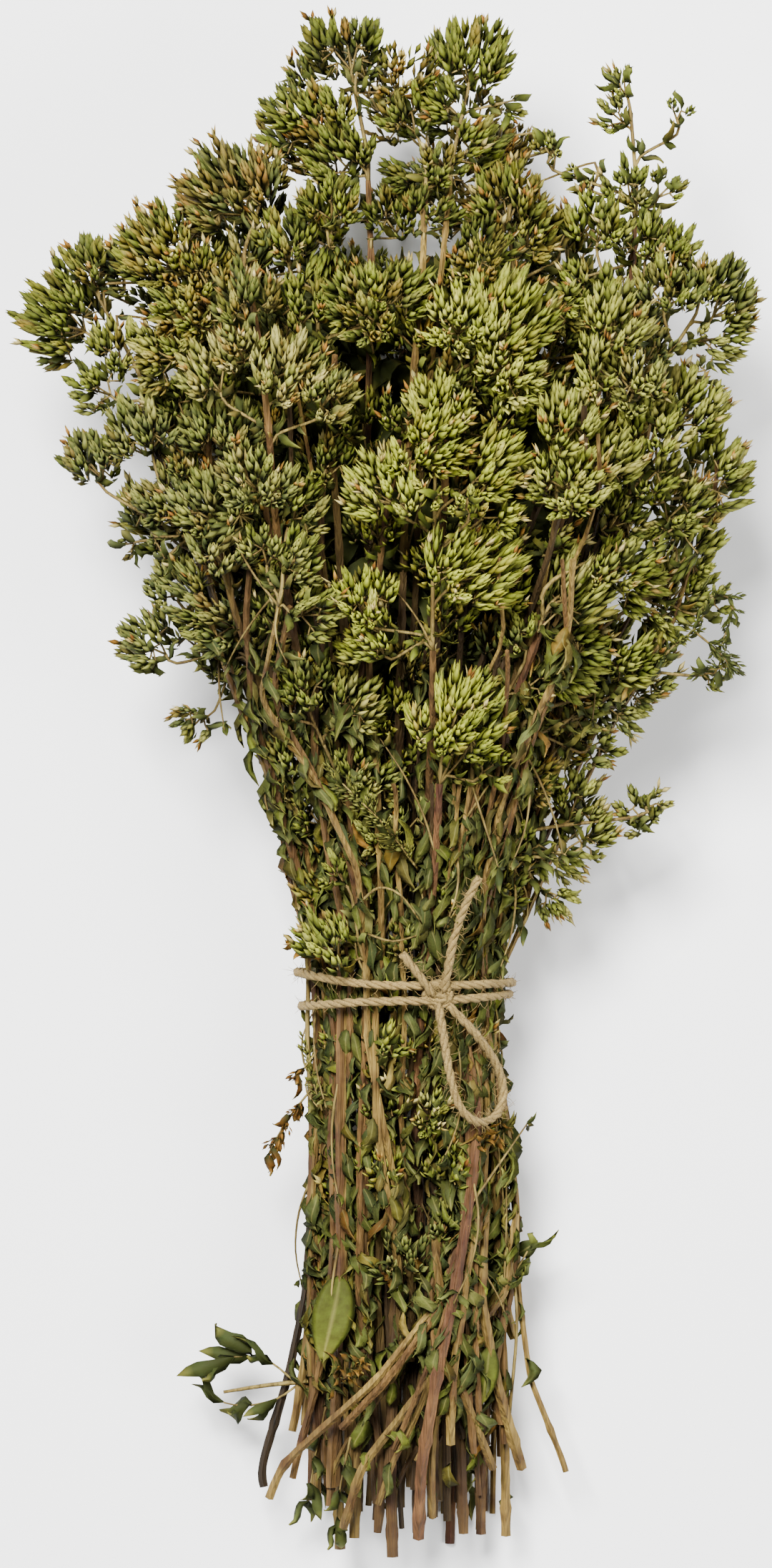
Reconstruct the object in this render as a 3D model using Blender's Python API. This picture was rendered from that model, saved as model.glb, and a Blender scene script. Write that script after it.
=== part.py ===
"""Dried oregano bundle, lying on its side: flowering stems tied round the waist with jute twine.

Blender's units are metres and +Z is up. The bundle lies along Y, flower heads towards +Y and cut
ends towards -Y, on a surface at z = 0. The origin is on that surface, under the middle of the
bundle's box. All sizes below are in millimetres.
"""

import math
import random

import bmesh
import bpy
import numpy as np
from mathutils import Vector

MM = 0.001

# The bundle's oval cross-section, station by station along its length.
SECTION_Y = (-222, -150, -58, 0, 20, 40, 80, 120, 150, 180, 200, 222)
SECTION_CENTRE_X = (5, 5.5, 5.5, 10, 10, 7, 7, 3, 0, 8, 5, 0)
SECTION_HALF_X = (31, 29, 26.5, 44, 57, 76, 90, 100, 97, 64, 46, 28)
SECTION_HALF_Z = (28, 27, 25, 36, 43, 50, 61, 67, 63, 46, 34, 20)
SECTION_MID_Z = (16, 24, 37, 49, 54, 59, 66, 69, 71, 72, 73, 74)

# Stems: the side of the square stem at its cut end and at its fork, and how stems keep apart.
STEM_SIDE_AT_CUT = 2.9
STEM_SIDE_AT_FORK = 1.9
STATION_STEP = 24
STEM_SPACING = 4.7
EASING_ROUNDS = 60
STRAIGHT_ENOUGH = 0.3
LOWEST_STEM = 1.2
TIE_Y = -60
TIED_MARGIN = 2.1

# Room between two nodes, and the gap between a stem's end and the flower top that goes on from it.
GAP = 0.4
JOINT_GAP = 0.4
JOINT_REACH = 2.3

# Flower tops: thin branches, and heads of pointed spikelets that stand out of a small core. The
# heads are drawn a little larger than life, so that fewer spikelets still cover the bundle.
BRANCH_THICKNESS = 1.5
FIRST_LENGTH = 5
SHARPEST_BEND = 0.1
FORKING_ANGLE = math.radians(45)
BRANCH_TRIES = 10
HEAD_TRIES = 40
HEAD_GROWTH = 1.25
OUTWARD_LEAN = 0.35
CORE_SHARE = 0.33
SMALL_HEAD = 11.3
SPIKELET_HALF_WIDTH = 3.3
SPIKELET_WIDEST = 0.45
SPIKELETS_PER_MM = 0.5
LOWEST_TIP = -2

# Leaves left on the lower stems, and the few large ones.
LEAF_LENGTH = (11, 18)
LEAF_WIDTH_SHARE = 0.45
LEAF_THICKNESS = 0.8
LEAVES_PER_STEM = 3

# Jute twine: two wraps, a knot, one hanging bow loop and two tails.
TWINE_DIAMETER = 2.8
TWINE_SIDES = 5
TWINE_STANDOFF = 2.7
WRAP_CORNERS = 16
KNOT = (14.5, -59.0)
KNOT_HEIGHT = 2.4

GREEN = (0.27, 0.30, 0.08, 1)
WOOD_TAN = (0.42, 0.29, 0.14, 1)
WOOD_BROWN = (0.24, 0.13, 0.08, 1)
JUTE = (0.52, 0.41, 0.25, 1)

# Each stem is one row: its colour, then its route from the cut end to the first fork, as
# (x, y, lift). Lift is the height in the cross-section: 1 is its top, 0 its middle, -1 its foot.
STEMS = (
    (WOOD_BROWN, ((-20, -190, 0.3), (-21, -121, 0.5), (-20, -81, 0.5), (-20, -58, 0.4),
                  (-28, -21, 0.4), (-33, 13, 0.3), (-40, 33, 0.3))),
    (WOOD_TAN, ((4, -205, 0.2), (6, -140, 0.5), (1, -105, 0.85), (-5, -77, 0.95), (-6, -58, 0.9),
                (-6, -39, 0.95), (-10, -15, 1), (-17, -3, 1), (-28, 11, 0.9), (-35, 23, 0.8),
                (-35, 39, 0.8), (-29, 49, 0.9))),
    (WOOD_BROWN, ((13, -207, 0.6), (14, -140, 0.4), (14, -90, 0.5), (11, -58, 0.5),
                  (11, -30, 0.6), (12, 0, 0.75), (13, 20, 0.8), (13, 37, 0.9))),
    (WOOD_BROWN, ((9, -213, 0.2), (8, -140, 0.2), (8, -90, 0.5), (11, -58, 0.88), (12, -40, 0.95),
                  (14, -20, 1), (15, 0, 0.95))),
    (WOOD_TAN, ((-39, -202, 0.95), (-18, -181, 1.1), (0, -165, 1.15), (14, -148, 0.95),
                (22, -130, 0.8), (21, -95, 0.75), (18, -58, 0.8), (19, -31, 0.95),
                (20, -17, 0.95), (24, 0, 0.9))),
    (WOOD_TAN, ((34, -214, 0.1), (33, -140, 0.4), (30, -90, 0.5), (25, -58, 0.7), (24, -33, 0.9),
                (28, -24, 0.9), (35, -7, 0.85), (41, 9, 0.8))),
    (WOOD_BROWN, ((9, -214, 0.9), (10, -191, 1.1), (13, -173, 1.25), (21, -132, 1.05),
                  (25, -100, 0.95), (26, -80, 0.8), (25, -58, 0.4), (26, -40, 0.55),
                  (30, -11, 0.6), (32, 13, 0.7), (40, 33, 0.8), (45, 45, 0.8))),
    (WOOD_TAN, ((-14, -210, 0.9), (-5, -189, 0.9), (9, -172, 0.85), (21, -160, 0.8),
                (31, -149, 0.7), (35, -138, 0.4), (36, -120, 0.3), (33, -85, 0.2), (31, -58, 0.2),
                (36, -24, 0.3))),
    (WOOD_TAN, ((52, -195, 0.3), (49, -184, 0.3), (41, -169, 0.2), (38, -152, -0.1),
                (37, -128, -0.3), (35, -100, -0.3), (31, -58, -0.2), (39, -25, 0), (50, 25, 0.3))),
    (WOOD_TAN, ((39, -194, 0.6), (36, -183, 0.8), (30, -167, 0.95), (26, -146, 1.0),
                (28, -120, 0.7), (23, -90, 0.4), (19, -58, 0.35), (24, -15, 0.45), (36, 30, 0.5),
                (47, 62, 0.7))),
    (WOOD_BROWN, ((27, -214, -0.1), (26, -140, -0.1), (26, -58, 0.0), (36, 0, 0.25), (50, 40, 0.3),
                  (66, 73, 0.3))),
    (WOOD_TAN, ((33, -206, -0.6), (30, -140, -0.6), (26, -58, -0.45), (40, 0, 0), (60, 60, 0.1),
                (76, 105, 0.1))),
    (WOOD_BROWN, ((22, -212, 0.45), (20, -140, 0.3), (19, -58, 0.1), (28, 0, 0.2), (45, 60, 0.35),
                  (62, 116, 0.4))),
    (WOOD_BROWN, ((18, -218, -0.7), (19, -190, -0.75), (19, -140, -0.4), (19, -58, -0.3), (30, 0, -0.1),
                  (50, 60, -0.1), (66, 120, 0.0), (70, 158, 0.1))),
    (WOOD_BROWN, ((2, -219, 0.75), (1, -190, 0.75), (2, -140, 0.3), (11, -100, 0.2),
                  (12, -58, 0.2), (13, 0, 0.3), (15, 60, 0.45), (18, 108, 0.7))),
    (WOOD_TAN, ((15, -203, -0.1), (14, -140, -0.2), (13, -58, -0.1), (17, 0, -0.1), (27, 80, 0.2),
                (36, 133, 0.4))),
    (WOOD_TAN, ((-3, -210, -0.2), (1, -140, -0.1), (5, -58, 0.15), (6, 0, 0.2), (10, 90, 0.3),
                (15, 138, 0.55), (16, 150, 0.6), (18, 165, 0.5))),
    (WOOD_TAN, ((2, -216, 0.45), (1, -165, 0.5), (-1, -110, 0.45), (3, -58, 0.5), (3, 0, 0.45),
                (6, 90, 0.45), (10, 140, 0.6), (11, 164, 0.5))),
    (WOOD_BROWN, ((-8, -206, 0.1), (-6, -140, 0.1), (-3, -58, 0.15), (-5, 0, 0.2), (-5, 100, 0.2),
                  (-4, 150, 0.4), (-5, 168, 0.3))),
    (WOOD_TAN, ((-9, -213, 0.6), (-8, -150, 0.6), (-7, -100, 0.6), (-4, -58, 0.55),
                (-9, 0, 0.4), (-14, 80, 0.4), (-18, 119, 0.5))),
    (WOOD_BROWN, ((-16, -200, 0.6), (-13, -150, 0.9), (-13, -113, 0.95), (-13, -75, 0.9),
                  (-12, -58, 0.7), (-16, -10, 0.5), (-22, 20, 0.5), (-30, 70, 0.65),
                  (-32, 93, 0.8), (-35, 122, 0.8), (-39, 139, 0.6))),
    (WOOD_TAN, ((-20, -204, -0.3), (-18, -140, -0.1), (-12, -58, 0.1), (-20, 0, 0.15),
                (-38, 80, 0.2), (-48, 123, 0.3))),
    (WOOD_BROWN, ((-37, -199, 0.2), (-29, -172, 0), (-23, -150, -0.1), (-21, -110, -0.1),
                  (-19, -58, -0.05), (-34, 10, 0), (-55, 70, 0.1), (-70, 105, 0.2))),
    (WOOD_TAN, ((-13, -217, 0), (-15, -140, 0.3), (-15, -100, 0.4), (-13, -58, 0.4),
                (-24, -10, 0.35), (-38, 35, 0.45), (-48, 65, 0.5))),
)

# Each flower top is one row: the stem that it grows on, the y where it leaves that stem (None: it
# is the stem's own end), then its heads, as (x, y, lift, radius).
TOPS = (
    (1, None, ((-68, 40, 0, 8.4), (-53, 38, 0.3, 8), (-48, 47, 0.6, 9), (-55, 16, 0.2, 5.6),
               (-46, 68, 0.6, 9.2), (-61, 58, 0.2, 8), (-50, 57, 0.5, 8.4))),
    (2, None, ((-23, 79, 0.75, 7.6), (-31, 69, 0.8, 6.6), (-24, 64, 0.95, 7.2),
               (-21, 51, 0.9, 7.2))),
    (3, None, ((13, 95, 1, 10.4), (30, 89, 1, 9), (30, 77, 0.95, 8), (-1, 83, 1, 11),
               (14, 80, 1.1, 4), (22, 79, 1.1, 4.4), (14, 106, 0.8, 8.4), (25, 62, 1, 12),
               (-6, 52, 0.95, 8.4), (-6, 41, 0.9, 8))),
    (4, None, ((15, 16, 1.15, 11.6), (28, 6, 1.1, 5.6))),
    (5, None, ((32, 30, 0.9, 8.4), (37, 43, 0.8, 6), (43, 30, 0.8, 5))),
    (6, None, ((55, 22, 0.5, 7), (65, 21, 0.2, 7.6), (71, 26, 0.1, 6.6), (75, 34, 0.1, 8),
               (60, 11, 0.2, 6.4))),
    (7, None, ((64, 61, 0.8, 8), (78, 71, 0.4, 9), (83, 79, 0.4, 8), (72, 56, 0.5, 8),
               (55, 33, 0.7, 8.4))),
    (8, None, ((35, -14, 0.7, 5.6), (54, -3, 0.2, 8), (61, -9, 0, 7.2), (69, -9, 0, 6),
               (76, -5, 0, 4.4), (50, -21, 0.1, 7.6), (41, -21, 0.5, 6.8), (49, -33, 0, 5.2))),
    (9, None, ((81, 56, 0, 9.2), (77, 48, 0.1, 9), (66, 41, 0.4, 10), (86, 67, 0.1, 8.4),
               (92, 51, 0, 4.8), (92, 31, 0, 4.4))),
    (10, None, ((50, 101, 1, 10.4), (50, 86, 1, 9.6), (62, 91, 0.9, 9), (49, 68, 0.5, 6.4))),
    (11, None, ((85, 107, 0.2, 9.6), (75, 101, 0.6, 8.4), (93, 88, 0, 9.6), (73, 89, 0.7, 8.4))),
    (12, None, ((96, 137, 0, 9.6), (95, 125, 0.1, 8), (92, 115, -0.1, 6), (87, 141, 0.2, 7),
                (78, 139, 0.4, 9.2), (68, 112, 0.8, 9))),
    (13, None, ((73, 153, 0.3, 8.4), (81, 150, 0.1, 7.2), (59, 158, 0.5, 9), (55, 140, 0.5, 7.6),
                (63, 128, 0.8, 10), (57, 115, 0.9, 9))),
    (14, None, ((66, 197, 0, 5), (64, 188, 0, 5), (82, 189, 0, 3.8), (69, 173, 0.2, 7),
                (79, 168, 0, 5.2), (53, 170, 0.1, 4), (45, 179, 0.1, 4.5))),
    (15, None, ((35, 130, 1, 11.6), (37, 115, 1, 10), (20, 129, 1, 9.2))),
    (16, None, ((33, 163, 0.6, 9.6), (42, 155, 0.5, 9.6), (49, 154, 0.3, 5), (50, 131, 0.7, 7.6),
                (24, 144, 0.8, 6.8))),
    (17, None, ((24, 204, 0.2, 10.4), (26, 178, 0.4, 7.6), (20, 189, 0.3, 9), (36, 191, 0, 4))),
    (18, None, ((6, 188, 0.3, 7.6), (5, 171, 0.4, 7.6), (17, 172, 0.7, 6.4))),
    (19, None, ((-11, 207, 0, 10.4), (-27, 186, 0.1, 9), (-18, 188, 0.3, 7.6),
                (-14, 176, 0.4, 9))),
    (20, None, ((-15, 163, 0.6, 8), (-30, 152, 0.5, 8.4), (-24, 133, 0.8, 8.4),
                (-6, 133, 0.9, 9.6), (5, 137, 0.8, 8.5))),
    (21, None, ((-45, 166, 0.6, 12), (-34, 171, 0.4, 6.5))),
    (22, None, ((-65, 150, 0.4, 11), (-58, 132, 0.7, 8.4), (-50, 143, 0.6, 7), (-55, 155, 0.4, 6),
                (-64, 119, 0.7, 8.4))),
    (23, None, ((-84, 146, 0, 8.4), (-92, 131, 0, 11.5), (-75, 123, 0.3, 8.4),
                (-82, 112, 0, 7.6))),
    (24, None, ((-62, 84, 0.3, 9.6), (-67, 77, 0.1, 8.4), (-50, 79, 0.7, 10), (-35, 88, 0.9, 9.2),
                (-73, 67, 0, 4))),
    (21, 92, ((-50, 115, 0.9, 8.8), (-26, 115, 1, 9.6), (-15, 109, 1, 7), (-38, 134, 1, 8.4),
              (-41, 121, 1, 7))),
    (24, 50, ((-80, 94, 0, 9.6), (-65, 99, 0.4, 10.4), (-48, 99, 0.8, 10.4))),
    (20, -25, ((-9, 24, 0.8, 7.6), (-22, 28, 0.8, 7.2), (-28, 26, 0.7, 6), (-8, 6, 0.7, 6.4),
               (-24, 10, 0.6, 6.4), (-2, -12, 0.7, 8), (7, -8, 0.7, 6.4), (-2, 1, 0.7, 6),
               (-30, 0, 0.7, 5.6))),
    (2, -50, ((-12, -36, 1.1, 8.5), (-14, -24, 1.1, 5.6))),
    (3, -100, ((4, -75, 0.85, 7), (12, -91, 0.8, 5.6))),
    (14, 60, ((60, 100, -1, 10), (45, 80, -1.4, 9), (70, 125, -0.7, 9), (40, 110, -1.3, 10),
              (55, 140, -0.7, 9))),
    (12, 20, ((78, 85, -0.6, 9), (60, 60, -0.9, 9), (70, 40, -0.5, 8), (45, 40, -0.9, 8))),
    (16, 50, ((20, 120, -1.3, 10.5), (10, 95, -1.3, 10), (30, 95, -1.3, 9),
              (25, 160, -0.7, 9))),
    (19, 50, ((-5, 140, -1, 10), (-15, 110, -1.3, 10.5), (-22, 155, -0.8, 9),
              (-8, 85, -1.3, 9))),
    (22, 40, ((-45, 120, -1.2, 10), (-60, 105, -0.9, 9.5), (-40, 90, -1.4, 10),
              (-55, 140, -0.6, 9), (-65, 75, -0.5, 8))),
    (23, 0, ((-30, 50, -1.1, 9), (-45, 60, -0.8, 8.5), (-15, 60, -1.2, 9), (-20, 25, -0.9, 8),
             (10, 55, -1.2, 9))),
)

# The large leaves that show on the lower stems: stem, y of the leaf's foot, its tip and width.
LARGE_LEAVES = (
    (21, -138, (-18, -163, 1.35), 12),
    (9, -133, (43, -129, -0.1), 5),
    (23, -178, (-50, -168, 0.4), 8),
    (23, -186, (-50, -181, 0.3), 6),
    (10, -158, (27, -175, 0.8), 7),
)

# The twine's route: the two wraps' y at the left, front, right and back of the waist.
WRAP_Y = ((-53.0, -56.5, -56.0, -55.0), (-62.6, -60.8, -59.2, -60.5))
# Twine laid on the bundle, as (x, y, height above the cross-section's top).
BOW_LOOP = ((14.5, -61, 2.2), (16, -70, 4), (18, -82, 5), (21, -91, 4.5), (26, -95, 4),
            (31, -93, 4), (33, -87, 5), (31, -79, 5.5), (25, -70, 4.5), (17.5, -62, 2.8))
SHORT_TAIL = ((13, -59, 2.6), (10, -54.5, 3.6), (4.5, -47.5, 3.4))
LONG_TAIL = ((16, -58, 2.6), (17.5, -51, 4), (19, -43, 4), (22.5, -33, 4.5), (26, -26, 5))


def section_at(y):
    """The bundle's cross-section at y: centre x, half width, middle height, half height."""
    columns = (SECTION_CENTRE_X, SECTION_HALF_X, SECTION_MID_Z, SECTION_HALF_Z)
    return tuple(float(np.interp(y, SECTION_Y, column)) for column in columns)


def on_section(x, y, lift, sunk=0.0):
    """The point at x, y whose height is lift's share of the cross-section's own height there."""
    centre_x, half_x, mid_z, half_z = section_at(y)
    across = min(abs(x - centre_x) / half_x, 0.97)
    rise = max(half_z * math.sqrt(1 - across**2) - sunk, 0)
    return np.array((x, y, mid_z + lift * rise))


def smooth_route(points, step):
    """Points about a step apart on a Catmull-Rom curve through the given ones."""
    ends = [2 * points[0] - points[1], *points, 2 * points[-1] - points[-2]]
    route = [points[0]]
    for a, b, c, d in zip(ends, ends[1:], ends[2:], ends[3:]):
        count = max(1, round(float(np.linalg.norm(c - b)) / step))
        for t in np.arange(1, count + 1) / count:
            route.append(0.5 * (2 * b + (c - a) * t + (2 * a - 5 * b + 4 * c - d) * t**2
                                + (3 * b - a - 3 * c + d) * t**3))
    return np.array(route)


def unit(vector):
    return vector / max(float(np.linalg.norm(vector)), 1e-9)


def stem_routes():
    """Every stem's route, bending only at stations shared by all, and eased clear of the others."""
    curves = []
    for _, points in STEMS:
        curves.append(smooth_route([on_section(*point) for point in points], 3))
    stations = np.arange(-240, 190, STATION_STEP)
    places = np.full((len(curves), len(stations), 2), np.nan)
    for row, curve in zip(places, curves):
        used = (stations > curve[0, 1] - STATION_STEP) & (stations < curve[-1, 1] + STATION_STEP)
        row[used, 0] = np.interp(stations[used], curve[:, 1], curve[:, 0])
        row[used, 1] = np.interp(stations[used], curve[:, 1], curve[:, 2])
    for _ in range(EASING_ROUNDS):
        for k in range(len(stations) - 1):
            ease_apart(places[:, k], places[:, k + 1])
            if abs(stations[k] - TIE_Y) < STATION_STEP:
                hold_in(places[:, k], stations[k])
    routes = []
    for row, curve in zip(places, curves):
        inner = (stations > curve[0, 1] + 4) & (stations < curve[-1, 1] - 4)
        ys = np.array((curve[0, 1], *stations[inner], curve[-1, 1]))
        used = ~np.isnan(row[:, 0])
        x, z = (np.interp(ys, stations[used], row[used, k]) for k in range(2))
        route = np.column_stack((x, ys, np.maximum(z, LOWEST_STEM)))
        routes.append(without_straight_joins(route))
    return routes


def without_straight_joins(route):
    """The route less the inner points that lie almost on the line between their neighbours."""
    kept = [route[0]]
    for place, following in zip(route[1:], route[2:]):
        share = (place[1] - kept[-1][1]) / (following[1] - kept[-1][1])
        straight = kept[-1] + share * (following - kept[-1])
        if np.linalg.norm(place - straight) > STRAIGHT_ENOUGH:
            kept.append(place)
    return np.array([*kept, route[-1]])


def ease_apart(near, far):
    """Push the stems clear of each other at the places between two neighbouring stations."""
    here = np.flatnonzero(~np.isnan(near[:, 0]) & ~np.isnan(far[:, 0]))
    slope = np.linalg.norm(far[here] - near[here], axis=1) / STATION_STEP
    room = STEM_SPACING / 2 * np.sqrt(1 + slope**2)
    for share in (0, 0.25, 0.5, 0.75, 1):
        points = (1 - share) * near[here] + share * far[here]
        away = points[:, None] - points[None]
        distance = np.linalg.norm(away, axis=2) + np.eye(len(here)) * 1e3
        push = np.clip(room[:, None] + room[None] - distance, 0, None) / 2
        moved = 0.5 * (away / distance[..., None] * push[..., None]).sum(axis=1)
        near[here] += (1 - share) * moved
        far[here] += share * moved


def hold_in(places, y):
    """Bring the stems that stand out of the tied cross-section at y back inside it."""
    centre_x, half_x, mid_z, half_z = section_at(y)
    oval = np.array((half_x - TIED_MARGIN, half_z - TIED_MARGIN))
    outward = places - (centre_x, mid_z)
    share = np.linalg.norm(outward / oval, axis=1)
    outside = share > 1
    places[outside] = (centre_x, mid_z) + outward[outside] / share[outside, None]


class Room:
    """The space that pieces already take, as balls along each piece, so that no two nodes touch."""

    def __init__(self):
        self.points = np.zeros((0, 3))
        self.radii = np.zeros(0)
        self.owners = np.zeros(0, int)

    def is_clear(self, points, radius, own, joint=None):
        """Whether balls at the points keep clear of all but the own pieces and the joint's end."""
        reach = radius + GAP
        margin = reach + 6
        near = (self.owners < own[0]) | (self.owners > own[1])
        near &= (self.points > points.min(axis=0) - margin).all(axis=1)
        near &= (self.points < points.max(axis=0) + margin).all(axis=1)
        if joint is not None:
            near &= np.linalg.norm(self.points - joint, axis=1) > JOINT_REACH
        away = points[:, None] - self.points[near][None]
        distance = np.linalg.norm(away, axis=2) - self.radii[near]
        return distance.size == 0 or float(distance.min()) > reach

    def take(self, points, radius, owner):
        self.points = np.vstack((self.points, points))
        self.radii = np.append(self.radii, np.full(len(points), radius))
        self.owners = np.append(self.owners, np.full(len(points), owner, int))


def along(start, end, spacing=0.9):
    """Points from start to end, no further apart than the spacing."""
    count = max(2, math.ceil(float(np.linalg.norm(end - start)) / spacing) + 1)
    return start + np.linspace(0, 1, count)[:, None] * (end - start)


def along_route(route):
    return np.vstack([along(a, b) for a, b in zip(route, route[1:])])


def tube(route, radii, sides, turn=0.0):
    """Vertices and faces of a closed tube with flat ends, its frame carried along the route."""
    route = np.asarray(route, float)
    directions = [unit(b - a) for a, b in zip(route, route[1:])]
    directions = [directions[0], *map(unit, np.add(directions[1:], directions[:-1])),
                  directions[-1]]
    side = unit(np.cross(directions[0], (0.0, 0.0, 1.0) if abs(directions[0][2]) < 0.9
                         else (1.0, 0.0, 0.0)))
    points = []
    for place, direction, radius in zip(route, directions, radii):
        side = unit(side - direction * float(side @ direction))
        up = np.cross(direction, side)
        for k in range(sides):
            angle = turn + 2 * math.pi * k / sides
            points.append(place + radius * (math.cos(angle) * side + math.sin(angle) * up))
    faces = []
    for ring in range(len(route) - 1):
        for k in range(sides):
            a, b = ring * sides + k, ring * sides + (k + 1) % sides
            faces.append((a, b, b + sides, a + sides))
    faces.append(tuple(range(sides))[::-1])
    faces.append(tuple(range((len(route) - 1) * sides, len(route) * sides)))
    return points, faces


def spindle(root, tip, half_width, sides):
    """A ring of corners half way along, with a point at each end."""
    axis = unit(tip - root)
    side = unit(np.cross(axis, (0.31, 0.17, 0.93) if abs(axis[2]) < 0.9 else (1.0, 0.1, 0.0)))
    up = np.cross(axis, side)
    middle = (root + tip) / 2
    angles = [2 * math.pi * k / sides for k in range(sides)]
    corners = [middle + half_width * (math.cos(a) * side + math.sin(a) * up) for a in angles]
    points = [root, *corners, tip]
    faces = []
    for k in range(sides):
        a, b = 1 + k, 1 + (k + 1) % sides
        faces += [(0, b, a), (sides + 1, a, b)]
    return points, faces


def blade(foot, tip, width, facing):
    """A leaf: a pointed oval arched along its rib, folded a little, thinning to foot and tip."""
    axis = unit(tip - foot)
    across = unit(np.cross(facing, axis))
    normal = np.cross(axis, across)
    length = float(np.linalg.norm(tip - foot))
    rib = foot + axis * length * 0.5 + normal * length * 0.10
    edge = normal * width * 0.14
    points = [foot, rib - across * width / 2 + edge, rib, rib + across * width / 2 + edge, tip]
    points += [point - normal * LEAF_THICKNESS for point in points[1:4]]
    faces = [(0, 2, 1), (0, 3, 2), (1, 2, 4), (2, 3, 4), (0, 5, 6), (0, 6, 7), (5, 4, 6),
             (6, 4, 7), (0, 1, 5), (1, 4, 5), (0, 7, 3), (3, 7, 4)]
    return points, faces


def mesh_object(name, points, faces, collection):
    """A new closed mesh object, its faces turned outwards, from points in millimetres."""
    mesh = bpy.data.meshes.new(name)
    mesh.from_pydata([Vector(point) * MM for point in points], [], faces)
    shape = bmesh.new()
    shape.from_mesh(mesh)
    bmesh.ops.recalc_face_normals(shape, faces=shape.faces)
    shape.to_mesh(mesh)
    shape.free()
    made = bpy.data.objects.new(name, mesh)
    collection.objects.link(made)
    return made


def fused(name, shapes, colour, roughness):
    """One object of all the shapes, joined by a Boolean union and cut off level with the surface."""
    material = bpy.data.materials.new(name)
    material.use_nodes = True
    shader = material.node_tree.nodes["Principled BSDF"]
    shader.inputs["Base Color"].default_value = colour
    shader.inputs["Roughness"].default_value = roughness
    made = mesh_object(name, *shapes[0], bpy.context.scene.collection)
    made.data.materials.append(material)
    if len(shapes) > 1:
        others = bpy.data.collections.new(name + "_repeats")
        bpy.context.scene.collection.children.link(others)
        for points, faces in shapes[1:]:
            mesh_object("repeat", points, faces, others)
        union = made.modifiers.new("join repeats", "BOOLEAN")
        union.operation = "UNION"
        union.solver = "MANIFOLD"
        union.operand_type = "COLLECTION"
        union.collection = others
        apply_modifiers(made)
        for repeat in list(others.objects):
            bpy.data.objects.remove(repeat)
        bpy.data.collections.remove(others)
    if min(vertex.co.z for vertex in made.data.vertices) < 0:
        cut = made.modifiers.new("resting face", "BOOLEAN")
        cut.operation = "DIFFERENCE"
        cut.solver = "MANIFOLD"
        cut.object = bpy.data.objects["surface"]
        apply_modifiers(made)
    return made


def apply_modifiers(made):
    graph = bpy.context.evaluated_depsgraph_get()
    mesh = bpy.data.meshes.new_from_object(made.evaluated_get(graph))
    made.modifiers.clear()
    old = made.data
    made.data = mesh
    bpy.data.meshes.remove(old)


def stem_shape(places, room, owner):
    """A square woody stem that tapers from its cut end, and the room that it takes."""
    radii = np.linspace(STEM_SIDE_AT_CUT, STEM_SIDE_AT_FORK, len(places)) / math.sqrt(2)
    for a, b, radius in zip(places, places[1:], radii):
        room.take(along(a, b), radius, owner)
    return places, tube(places, radii, 4, math.pi / 4)


def point_at(route, y):
    return np.array([np.interp(y, route[:, 1], route[:, k]) for k in range(3)])


def open_side(joint, growth, aim, room):
    """The direction square to the stem that has most room, of those that face the aim."""
    sideways = unit(aim - growth * float(aim @ growth))
    across = np.cross(growth, sideways)
    best, most = sideways, -1
    for turn in (0, 0.4, -0.4, 0.8, -0.8, 1.2, -1.2, 1.6, -1.6, 2.2, -2.2):
        way = math.cos(turn) * sideways + math.sin(turn) * across
        free = 0
        while free < 6 and room.is_clear(along(joint + way * 2.5, joint + way * (3 + free)),
                                         BRANCH_THICKNESS / 2, (-1, -1), joint):
            free += 1
        if free > most:
            best, most = way, free
    return best


def clear_branch(places, heart, room, own, joint, chance):
    """A gently bowed route through the places that keeps clear of other nodes, or None."""
    for attempt in range(BRANCH_TRIES):
        route = np.array(places)
        if attempt > 0:
            bow = np.array([chance.uniform(-1, 1) for _ in range(3)]) * 0.5 * attempt
            route = np.insert(route, -1, (route[-2] + route[-1]) / 2 + bow, axis=0)
        ways = [unit(b - a) for a, b in zip(route, [*route[1:], heart])]
        if min(float(a @ b) for a, b in zip(ways, ways[1:])) < SHARPEST_BEND:
            continue
        points = along_route(route)
        if room.is_clear(points, BRANCH_THICKNESS / 2, own, joint):
            return route
    return None


def forking_point(spine, goal):
    """The point of the spine where a branch to the goal leaves at about the forking angle."""
    steps = np.linalg.norm(np.diff(spine, axis=0), axis=1)
    travelled = np.append(0, np.cumsum(steps))
    cost = math.cos(FORKING_ANGLE) * travelled + np.linalg.norm(spine - goal, axis=1)
    usable = travelled <= 0.85 * travelled[-1]
    return spine[usable][int(np.argmin(cost[usable]))]


def top_branches(number, heads, start, growth, joint, room, chance):
    """The branches of one flower top: each head's route, heart, way it faces and radius."""
    owner = 100 * number
    own = (owner, owner + 99)
    placed = []
    for x, y, lift, radius in heads:
        grown = HEAD_GROWTH * radius
        placed.append((on_section(x, y, lift, 0.6 * grown), grown))
    placed.sort(key=lambda head: -float(np.linalg.norm(head[0] - start)))
    made = []
    spine = None
    for centre, radius in placed:
        for attempt in range(HEAD_TRIES):
            shift = np.array([chance.uniform(-1, 1) for _ in range(3)])
            moved = centre + shift * radius * attempt / HEAD_TRIES
            moved[2] = max(moved[2], 0.8 * radius)
            if spine is None:
                places = [start, start + FIRST_LENGTH / 2 * growth]
            else:
                places = [forking_point(spine, moved)]
                joint = None
            facing = unit(moved - places[-1])
            middle = on_section(*moved[:2], 0)
            if abs(moved[2] - middle[2]) > 3:
                facing = unit(facing + OUTWARD_LEAN * unit(moved - middle) + growth / 4)
            core = CORE_SHARE * radius
            heart = moved - 0.2 * radius * facing
            fork = heart - 2.2 * core * facing
            if not room.is_clear(np.array([heart]), core, own):
                continue
            route = clear_branch([*places, fork], heart, room, own, joint, chance)
            if route is not None:
                break
        else:
            continue
        room.take(along_route(route), BRANCH_THICKNESS / 2, owner + len(made))
        room.take(np.array([heart]), core, owner + len(made))
        if spine is None:
            spine = along_route(route[1:])
        made.append((route, heart, facing, radius))
    return made


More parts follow.
